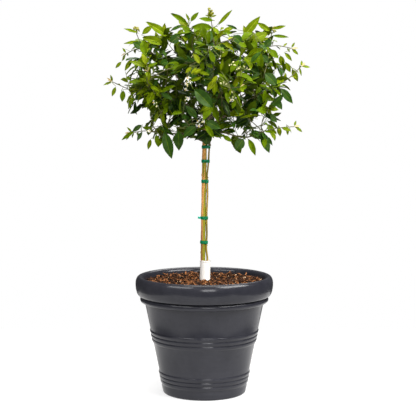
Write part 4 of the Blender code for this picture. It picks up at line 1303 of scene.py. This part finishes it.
def tipLeaves(space, twig, shape, rng):
    tip = twig.path[-1]
    side, _, heading = sideAxes(twig.heading(twig.end))
    for forward, sideways, upward, length, wide, tone in tipShapes[shape]:
        way = heading * forward + side * sideways + (0.0, 0.0, upward)
        front = np.array((rng.uniform(-0.2, 0.2), -0.8 if tip[1] < 0.12 else 0.8, 0.6))
        addLeaf(space, tip, way, front, length, length * wide, tone, rng, force=True)
    if shape not in fine["tipBuds"]:
        return
    tops = [tip + side * sideways + (0.0, 0.0, upward) for sideways, upward in fine["tipBuds"][shape]]
    for number in range(fine["tipBudCount"]):
        spread = spreadOut(rng, 0.006)
        size = rng.uniform(0.006, 0.008)
        budRows.append((tops[number % len(tops)] + spread, unit(spread + (0.0, 0.0, 0.003)), (0.3, 0.2, 1.0),
                        (size,) * 3, 0, 0))
    budStalks.extend((tip, top, 0.0010) for top in tops[-2:])


def sideTwigs(space, twig, shape, rng):
    # Finer twigs off one of the solids' twigs
    made = []
    turn = rng.uniform(0, 2 * math.pi)
    distance = fine["sideStep"] * rng.uniform(0.4, 1.0)
    last = twig.end - (0.075 if shape == "spray" else 0.012)
    while distance < last:
        turn += fine["turn"]
        root, radius = twig.at(distance)
        side, up, heading = sideAxes(twig.heading(distance))
        length = rng.uniform(*fine["sideLengths"])
        for attempt in range(fine["sideTries"]):
            out = atAngle(side, up, turn + attempt * fine["sideSwing"])
            way = unit(atAngle(heading, out, fine["sideOpening"]))
            tip = root + way * length
            line = bow(root, root + way * length * 0.5 - np.array((0.0, 0.0, 0.006 + 0.05 * length)), tip, 6)
            if (tip[2] > fine["leafFloor"] and inCrown(line, 0.95) and space.owns(line[2:], 0.001)
                    and space.clearOfLimbs(line[1:], 0.003)):
                made.append(Limb(line, (min(fine["sideRadii"][0], radius * 0.8), fine["sideRadii"][1])))
                break
        distance += fine["sideStep"] * rng.uniform(0.75, 1.3)
    return made


# Leaves, blossom and gaps that show from the front, in millimetres. Each place is given on the plane of the
# trunk as the camera sees it, with its depth (negative is nearer), and gets a fine twig of its own.

frontLeaves = (  # root x, root z, tip x, tip z, depth, width, and its tone, the dark tones partly painted shade
    (-43, 1124, 31, 1057, -285, 43, 1), (-15, 1207, -35, 1248, -305, 18, 4),
    (-42, 1170, -12, 1192, -290, 13, 4), (-26, 1182, 16, 1176, -255, 14, 3),
    (5, 966, 10, 917, -120, 40, 1), (-23, 1010, -64, 1057, -240, 24, 1), (-25, 989, -75, 951, -230, 30, 1),
    (-2, 992, 36, 948, -235, 19, 2), (1, 1005, 54, 979, -235, 30, 1), (-149, 974, -121, 870, -170, 37, 1),
    (-97, 974, -89, 904, -185, 35, 1), (-177, 959, -169, 910, -150, 18, 2),
    (-251, 971, -300, 938, -60, 14, 2), (-226, 966, -246, 934, -90, 15, 1),
    (-195, 940, -206, 902, -110, 15, 3), (204, 964, 239, 891, -130, 30, 1),
    (157, 942, 190, 884, -140, 22, 2), (146, 942, 116, 899, -150, 36, 1),
    (-239, 1321, -289, 1340, -60, 13, 3), (-228, 1315, -193, 1347, -60, 21, 3),
    (-226, 1291, -291, 1287, -70, 14, 3), (-144, 1276, -217, 1313, -90, 32, 3),
    (241, 1325, 197, 1360, -50, 21, 3), (245, 1335, 292, 1349, -50, 13, 3),
    (241, 1312, 304, 1310, -60, 12, 2), (160, 1290, 226, 1325, -80, 34, 3),
    (275, 1244, 287, 1206, -60, 21, 3), (290, 1252, 318, 1226, -40, 14, 3),
    (318, 1196, 340, 1150, -40, 20, 3), (345, 1200, 354, 1170, -30, 8, 3),
    (294, 1218, 312, 1186, -60, 20, 3), (-260, 1230, -290, 1190, -60, 18, 3),
    (-300, 1220, -322, 1198, -50, 12, 3), (-322, 1130, -336, 1096, -40, 14, 3),
    (-295, 1118, -300, 1078, -40, 20, 2), (270, 986, 278, 950, -85, 18, 3),
    (300, 990, 307, 954, -80, 11, 3), (273, 1127, 324, 1074, -80, 28, 1),
    (216, 1181, 265, 1137, -150, 36, 1), (255, 1090, 283, 1049, -130, 24, 1),
    (-118, 1299, -203, 1367, -60, 30, 3), (134, 1299, 199, 1380, -50, 30, 3),
    (236, 1264, 268, 1238, -90, 24, 2), (205, 1245, 232, 1218, -110, 24, 1),
    (232, 1032, 264, 1002, -90, 24, 1), (228, 992, 258, 960, -100, 24, 2),
    (226, 1052, 268, 1048, -80, 20, 3), (-226, 990, -262, 968, -70, 18, 1),
    (-190, 972, -222, 982, -80, 18, 2), (-124, 1329, -85, 1353, -50, 13, 1),
    (-100, 1310, -78, 1334, -60, 18, 3), (-53, 1362, -65, 1391, -30, 9, 3),
    (-45, 1322, -80, 1346, -50, 22, 2), (-38, 1318, -70, 1312, -80, 24, 1),
    (122, 1333, 86, 1353, -40, 11, 1), (104, 1318, 56, 1332, -60, 18, 2),
    (-123, 1284, -95, 1315, -120, 34, 1), (137, 1284, 108, 1312, -120, 34, 1),
    (-58, 1351, -115, 1395, -20, 19, 2), (-50, 1360, -27, 1396, -20, 17, 2),
    (37, 1366, -16, 1376, -40, 17, 2), (47, 1345, 97, 1406, -10, 15, 3), (37, 1338, -42, 1347, -90, 30, 2),
    (-225, 1268, -255, 1288, -90, 28, 1), (-196, 1270, -176, 1288, -90, 26, 1),
    (218, 1272, 242, 1296, -100, 30, 1), (196, 1270, 172, 1286, -100, 28, 2),
    (59, 1232, 86, 1258, -290, 13, 3), (38, 1212, 22, 1254, -295, 19, 2),
    (60, 1184, 66, 1224, -310, 12, 3), (48, 1158, 10, 1118, -310, 22, 4),
    (42, 1150, 34, 1106, -315, 19, 3), (50, 1170, 28, 1142, -312, 15, 4),
    (56, 1166, 62, 1128, -305, 14, 2), (-45, 1200, -68, 1180, -300, 12, 4),
    (-26, 1200, -48, 1176, -305, 10, 4), (-8, 1192, -40, 1181, -305, 11, 4),
    (-8, 1163, -47, 1151, -305, 12, 3),
)
skyGaps = (  # x, z, half width, half height: where the leaves stand apart and the light shows through
    (-217, 1024, 20, 24), (-173, 995, 8, 18), (-129, 1008, 8, 10), (-124, 953, 8, 14), (-110, 981, 14, 5),
    (209, 1010, 14, 18), (184, 993, 9, 14), (130, 965, 17, 16), (108, 985, 9, 10), (162, 951, 10, 7),
    (82, 942, 10, 9), (264, 1180, 9, 18), (240, 1143, 9, 8), (126, 1246, 12, 10), (73, 1302, 12, 10),
    (134, 1099, 11, 8), (-115, 1244, 13, 10), (-120, 1277, 10, 9), (-104, 1161, 9, 8),
    (-245, 1243, 12, 12), (-292, 1108, 13, 13),
)
blossomClusters = (  # x, z, depth, and its open flowers and buds
    (-54, 1136, -275, 3, 2), (-62, 1118, -275, 1, 1), (-10, 995, -245, 3, 2), (-62, 1092, -265, 1, 2),
    (-176, 1076, -230, 1, 2), (-198, 963, -180, 1, 2), (116, 1197, -305, 0, 5), (87, 1211, -305, 0, 4),
    (100, 1085, -265, 1, 3), (64, 1134, -312, 0, 3), (152, 1187, -290, 0, 4), (-45, 1245, -210, 0, 3),
    (60, 1240, -230, 0, 4), (120, 1150, 250, 2, 3), (-140, 1180, 240, 2, 3), (-20, 1060, 280, 3, 2),
    (60, 1260, 200, 1, 3), (270, 1130, 60, 1, 3), (-262, 1150, 90, 1, 3),
)


def inSkyGap(points):
    # Whether the camera sees any of the points in one of the gaps
    eye = np.array(studio["cameraPlace"])
    seen = eye + (points - eye) * (-eye[1] / (points[:, 1] - eye[1]))[:, None]
    return any((((seen[:, 0] - x / 1000) / (wide / 1000)) ** 2
                + ((seen[:, 2] - z / 1000) / (high / 1000)) ** 2 < 1.0).any() for x, z, wide, high in skyGaps)


def seenAt(x, z, depth):
    # The place at that depth that the camera sees at (x, z) on the trunk's plane
    eye = np.array(studio["cameraPlace"])
    return eye + (np.array((x, 0.0, z)) - eye) * (depth - eye[1]) / -eye[1]


def twigTo(place, twigs):
    # A fine twig from the nearest twig to a place
    found = []
    for twig in twigs:
        for distance in np.arange(0.25 * twig.end, twig.end + 0.001, 0.012):
            found.append((np.linalg.norm(place - twig.at(distance)[0]), len(found), twig, distance))
    away, _, twig, distance = min(found)
    root, radius = twig.at(distance)
    bend = root + (twig.heading(distance) * 0.5 + unit(place - root)) * away * 0.38
    return Limb(bow(root, bend, place, 7), (min(0.0014, radius), 0.0008))


def placeFront(space, twigs, rng):
    made = []
    for *measures, tone in frontLeaves:
        x, z, tipX, tipZ, depth, width = (measure / 1000 for measure in measures)
        root, tip = seenAt(x, z, depth), seenAt(tipX, tipZ, depth - 0.012)
        made.append(twigTo(root, twigs))
        front = np.array((rng.uniform(-0.25, 0.25), -1.0, rng.uniform(0.15, 0.5)))
        length = np.linalg.norm(tip - root) * 1.04
        addLeaf(space, root, tip - root, front, length, width, tone, rng, force=True)
    return made


def placeBlossom(twigs, rng):
    made = []
    for *measures, flowers, buds in blossomClusters:
        x, z, depth = (measure / 1000 for measure in measures)
        place = seenAt(x, z, depth) if depth < 0 else np.array((x, depth, z))
        twig = twigTo(place, twigs)
        made.append(twig)
        outward = unit((place - crown["centre"]) * (1, 1, 0.6))
        for number in range(flowers + buds):
            spin = np.array([rng.gauss(0, 1) for _ in range(3)])
            heading = unit(outward * 0.9 + unit(spin) * 0.9)
            start = place - twig.heading(twig.end) * rng.uniform(0.0, 0.016)
            size, kind, tone = rng.uniform(*flower["budSizes" if number >= flowers else "sizes"]), 2, 1
            if number < flowers:
                kind, tone = int(rng.random() < 0.2), 0
            side = unit(np.cross(heading, (0.3, 0.5, 0.8)))
            blossomRows.append((start, heading, side, (size,) * 3, kind, tone))
        ring = [place + outward * 0.008 + spreadOut(rng, 0.011) for _ in range(fine["blossomPoints"])]
        blades.add(np.array(ring))
    return made


# Shapes of one leaf, one flower, one bud and one fruitlet, each a unit long, growing along +X

leafOutline = {
    "along": (0.0, 0.07, 0.19, 0.35, 0.53, 0.70, 0.85, 0.95, 1.0),
    "half": (0.05, 0.33, 0.73, 0.96, 1.0, 0.80, 0.45, 0.16, 0.0),
    "across": (-1.0, -0.55, -0.055, 0.055, 0.55, 1.0),
    "cells": ((0, 1, 0), (1, 2, 0), (2, 3, 1), (3, 4, 0), (4, 5, 0), (0, 6, 2), (6, 5, 2)),  # columns, part
    "stalk": 0.10,
    "stalkEnds": ((-0.02, 0.0, 0.0, 1.0), (0.15, -0.004, -0.02, 0.8)),  # place, height, droop, radius
    "kinds": (  # fold, arch of each half, droop, twist, wave
        (0.075, 0.030, 0.18, 0.00, 0.008),
        (0.110, 0.035, 0.26, 0.12, 0.012),
        (0.050, 0.020, 0.34, -0.15, 0.014),
        (0.090, 0.045, 0.12, 0.20, 0.018),
        (0.065, 0.030, 0.42, -0.06, 0.010),
        (0.120, 0.040, 0.22, -0.22, 0.014),
    ),
}
flower = {
    "stalk": ((-0.02, 0.0), (0.0, 0.022), (0.26, 0.026), (0.31, 0.070), (0.36, 0.060), (0.37, 0.0)),
    "petal": ((0.03, 0.33, 0.04), (0.16, 0.42, 0.075), (0.30, 0.45, 0.090), (0.42, 0.41, 0.065),
              (0.50, 0.33, 0.0)),  # reach, height, half its width
    "petalThickness": 0.030,
    "petalEdge": 0.012,
    "petals": 5,
    "stamens": 7,
    "stamenRing": 0.085,
    "pistil": ((0.34, 0.0), (0.36, 0.035), (0.60, 0.025), (0.66, 0.045), (0.70, 0.0)),
    "budStalk": ((-0.02, 0.0), (0.0, 0.030), (0.40, 0.032), (0.46, 0.085), (0.52, 0.075), (0.53, 0.0)),
    "bud": ((0.48, 0.0), (0.54, 0.110), (0.70, 0.150), (0.86, 0.120), (0.97, 0.060), (1.0, 0.0)),
    "sizes": (0.020, 0.027),
    "budSizes": (0.012, 0.018),
}
fruit = {
    "neck": ((-0.3, 0.0), (-0.28, 0.12), (0.1, 0.14), (0.12, 0.0)),
    "ball": [(0.5 - 0.5 * math.cos(a), 0.5 * math.sin(a)) for a in np.linspace(0, math.pi, 6)],
    "stemBud": ((-0.3, 0.0), (-0.2, 0.34), (0.15, 0.42), (0.6, 0.24), (1.0, 0.0)),
}


def finishShape(points, faces, parts, sharp=50):
    piece = addMesh("shape", points, faces, sharp=sharp)
    setAttribute(piece, "part", "INT", parts, "FACE")
    setSharp(piece.data, sharp)
    return piece


def leafShape(fold, arch, droop, twist, wave):
    def place(along, across, down=0.0):
        x = leafOutline["stalk"] + (1 - leafOutline["stalk"]) * along
        out = abs(across)
        ripple = wave * math.sin(along * 17 + across * 2.0)
        z = fold * out - arch * out**2 * 1.4 - droop * x**2 + ripple * out - down
        half = np.interp(along, leafOutline["along"], leafOutline["half"]) / 2
        return (x, across * half + 0.03 * math.sin(along * 3.0) * twist, z + twist * across * along * 0.12)

    points, faces, parts = [], [], []
    rows = leafOutline["along"][:-1]
    wide = len(leafOutline["across"]) + 1
    for along in rows:
        points += [place(along, across) for across in leafOutline["across"]] + [place(along, 0.0, 0.008)]
    tip = len(points)
    points.append(place(1.0, 0.0))
    for a in range(0, tip, wide):
        b = a + wide
        for i, j, part in leafOutline["cells"]:
            faces.append((a + i, a + j, b + j, b + i) if b < tip else (a + i, a + j, tip))
            parts.append(part)
    faces.append(tuple(range(wide)))
    # The stalk, a three-sided rod from inside the twig to inside the blade
    foot = len(points)
    for x, z, sag, radius in leafOutline["stalkEnds"]:
        for turn in (math.pi / 2, math.pi * 7 / 6, math.pi * 11 / 6):
            y, high = radius * 0.034 * math.cos(turn), radius * 0.013 * math.sin(turn)
            points.append((x, y, z + droop * sag + high))
    faces += ringFaces(2, 3, foot) + endFaces(2, 3, foot)
    return finishShape(points, faces, parts + [2] + [1] * 5, 62)


def petalShell(turn, closing):
    # Thick pointed petal; closing draws it up into a cup
    def place(reach, height, across):
        r = reach * (1 - 0.62 * closing)
        y, z = r * math.cos(turn) - across * math.sin(turn), r * math.sin(turn) + across * math.cos(turn)
        return height + closing * reach * 1.1, y, z

    points, edge, thickness = [], flower["petalEdge"], flower["petalThickness"]
    *rows, (tipReach, tipHeight, _) = flower["petal"]
    for reach, height, half in rows:
        for lift, across in ((edge, -half), (0.0, 0.0), (edge, half), (-thickness, 0.0)):
            points.append(place(reach, height + lift, across))
    tip = len(points)
    faces = ringFaces(len(rows), 4) + [(3, 2, 1, 0)]
    faces += [(tip - 4 + i, tip - 4 + (i + 1) % 4, tip) for i in range(4)]
    return points + [place(tipReach, tipHeight, 0.0)], faces, [0] * len(faces)


def stamenShell(turn):
    # A three-sided spike
    y, z = flower["stamenRing"] * math.cos(turn), flower["stamenRing"] * math.sin(turn)
    points = [(0.34, y + 0.030 * math.cos(a), z + 0.030 * math.sin(a)) for a in (0.0, 2.1, 4.2)]
    return points + [(0.60, y * 1.25, z * 1.25)], [(0, 1, 3), (1, 2, 3), (2, 0, 3), (2, 1, 0)], [1] * 4


def flowerShape(closing):
    petals, stamens = flower["petals"], flower["stamens"]
    shells = [spun(flower["stalk"], 5, 2)]
    shells += [petalShell(2 * math.pi * i / petals, closing) for i in range(petals)]
    shells += [stamenShell(2 * math.pi * (i + 0.5) / stamens) for i in range(stamens)]
    return finishShape(*joined(shells + [spun(flower["pistil"], 5, 1)]))


def scatterTree(paints):
    # Puts one of the shapes at each point, turned and sized by the point's own values, and paints its parts
    tree, given = startTree("scatter", Shapes="Collection")

    def named(attribute, kind="FLOAT_VECTOR"):
        node = addNode(tree, "GeometryNodeInputNamedAttribute", {"data_type": kind}, Name=attribute)
        return node.outputs[0]

    turn = addNode(tree, "FunctionNodeAxesToRotation", {"primary_axis": "X", "secondary_axis": "Z"},
                   n0=named("heading"), n1=named("facing"))
    geometry = placedShapes(tree, given["Shapes"], Points=given["Geometry"], Rotation=turn.outputs[0],
                            Scale=named("size"), Instance_Index=named("shape", "INT"))
    code = reckoned(tree, "MULTIPLY_ADD", named("tone", "INT"), 4.0, named("part", "INT"))
    for (tone, part), finish in paints.items():
        match = reckoned(tree, "COMPARE", code, tone * 4.0 + part, 0.3)
        geometry = painted(tree, geometry, finishes[finish], Selection=match)
    addNode(tree, "NodeGroupOutput", Geometry=geometry)
    return tree


def scattered(name, rows, shapes, paints, *nodes):
    # rows: place, heading, facing, size, shape, tone
    places, *columns = zip(*rows)
    seeds = addMesh(name + "Points", places, [], turnOut=False)
    titles = ("heading", "facing", "size", "shape", "tone")
    for title, kind, column in zip(titles, ["FLOAT_VECTOR"] * 3 + ["INT"] * 2, columns):
        setAttribute(seeds, title, kind, column)
    piece = baked(name, seeds, scatterTree(paints), shapes, {})
    clearAway(seeds)
    layers = piece.data.attributes
    for title in (*titles, "part"):
        if title in layers:
            layers.remove(layers[title])
    settle(piece, "foliage", *nodes)
    return piece


# Growing the crown

skeleton = {name: growSkeleton(name) for name in masses}
print("skeleton grown:", sum(len(twigs) for _, twigs in skeleton.values()), "twigs")


def growCrown():
    rng = random.Random(71)
    anySpace = skeleton["top"][0]
    mains = [twig for _, twigs in skeleton.values() for twig, _ in twigs]
    extra = placeBlossom(mains, rng) + placeFront(anySpace, mains, rng)
    for _, twigs in skeleton.values():
        for twig, shape in twigs:
            if shape:
                tipLeaves(anySpace, twig, shape, rng)
    sides = []
    for name, (space, twigs) in skeleton.items():
        own = random.Random(masses[name][4] + 1000)
        for number, (twig, shape) in enumerate(twigs):
            leavesOn(space, twig, shape, own, 0.0 if number else 0.02)
        for twig, shape in twigs:
            for side in sideTwigs(space, twig, shape, own):
                sides.append(side)
                leavesOn(space, side, None, own, 0.006)
    return mains, sides, extra


def makeTwigs(name, limbs, sides, step, finish, depth=0.0, stalks=()):
    shells = []
    for limb in limbs:
        line = refined(limb, step)
        shells.append(tubeShell(*(rooted(*line, depth) if depth else line), sides, barkRelief(0.12)))
    shells += [tubeShell(np.linspace(start, end, 3), np.full(3, radius), 4) for start, end, radius in stalks]
    points, faces, _ = joined(shells)
    settle(addMesh(name, points, faces, (finish,), 70), "foliage", *foliage)
    print(name, len(limbs), "limbs,", len(faces), "faces")


def makeLeaves():
    paints = {}
    for tone in range(len(leafTones)):
        # Ribs and undersides of the darker tones are darker too, with the same painted shade
        ageAndShade = "Dark" if tone < 3 else "Light"
        paints.update({(tone, 0): f"leaf{tone}", (tone, 1): "rib" + ageAndShade, (tone, 2): "under" + ageAndShade})
    for name, low, high in fine["leafPieces"]:
        rows = [row for row in leafRows if low <= row[0][2] < high]
        leaves = scattered(name, rows, [leafShape(*kind) for kind in leafOutline["kinds"]], paints, *foliage)
        print(name, len(rows), "leaves,", len(leaves.data.polygons), "faces")


def makeBlossom():
    shapes = [flowerShape(0.0), flowerShape(0.55),
              finishShape(*joined([spun(flower["budStalk"], 5, 2), spun(flower["bud"], 7, 0)]))]
    paints = {(0, 0): "petal", (1, 0): "budPetal", (0, 1): "stamen", (0, 2): "calyx", (1, 2): "calyx"}
    scattered("blossom", blossomRows, shapes, paints, *foliage)


def makeBuds():
    # Round fruitlets over the tips, and a pointed bud at each scar of the slim stem
    for height, turn in slim["scars"]:
        place, radius = slimStem.atHeight(height)
        out = facing(turn, 0.5)
        budRows.append((place + unit(out) * radius * 0.9, out, (0.0, 0.0, 1.0), (fine["stemBud"],) * 3, 1, 1))
    shapes = [finishShape(*joined([spun(fruit["neck"], 5, 2), spun(fruit["ball"], 8, 0)])),
              finishShape(*spun(fruit["stemBud"], 6, 1))]
    scattered("buds", budRows, shapes, {(0, 0): "fruitlet", (0, 2): "calyx", (1, 1): "bud"})


mains, sides, extra = growCrown()
makeTwigs("mainTwigs", mains, 7, 0.006, "twig", 0.002)
makeTwigs("fineTwigs", sides + extra, 5, 0.009, "shoot", stalks=budStalks)
makeLeaves()
makeBlossom()
makeBuds()
print("crown made:", len(leafRows), "leaves,", len(blossomRows), "flowers and buds,", len(sides),
      "side twigs")
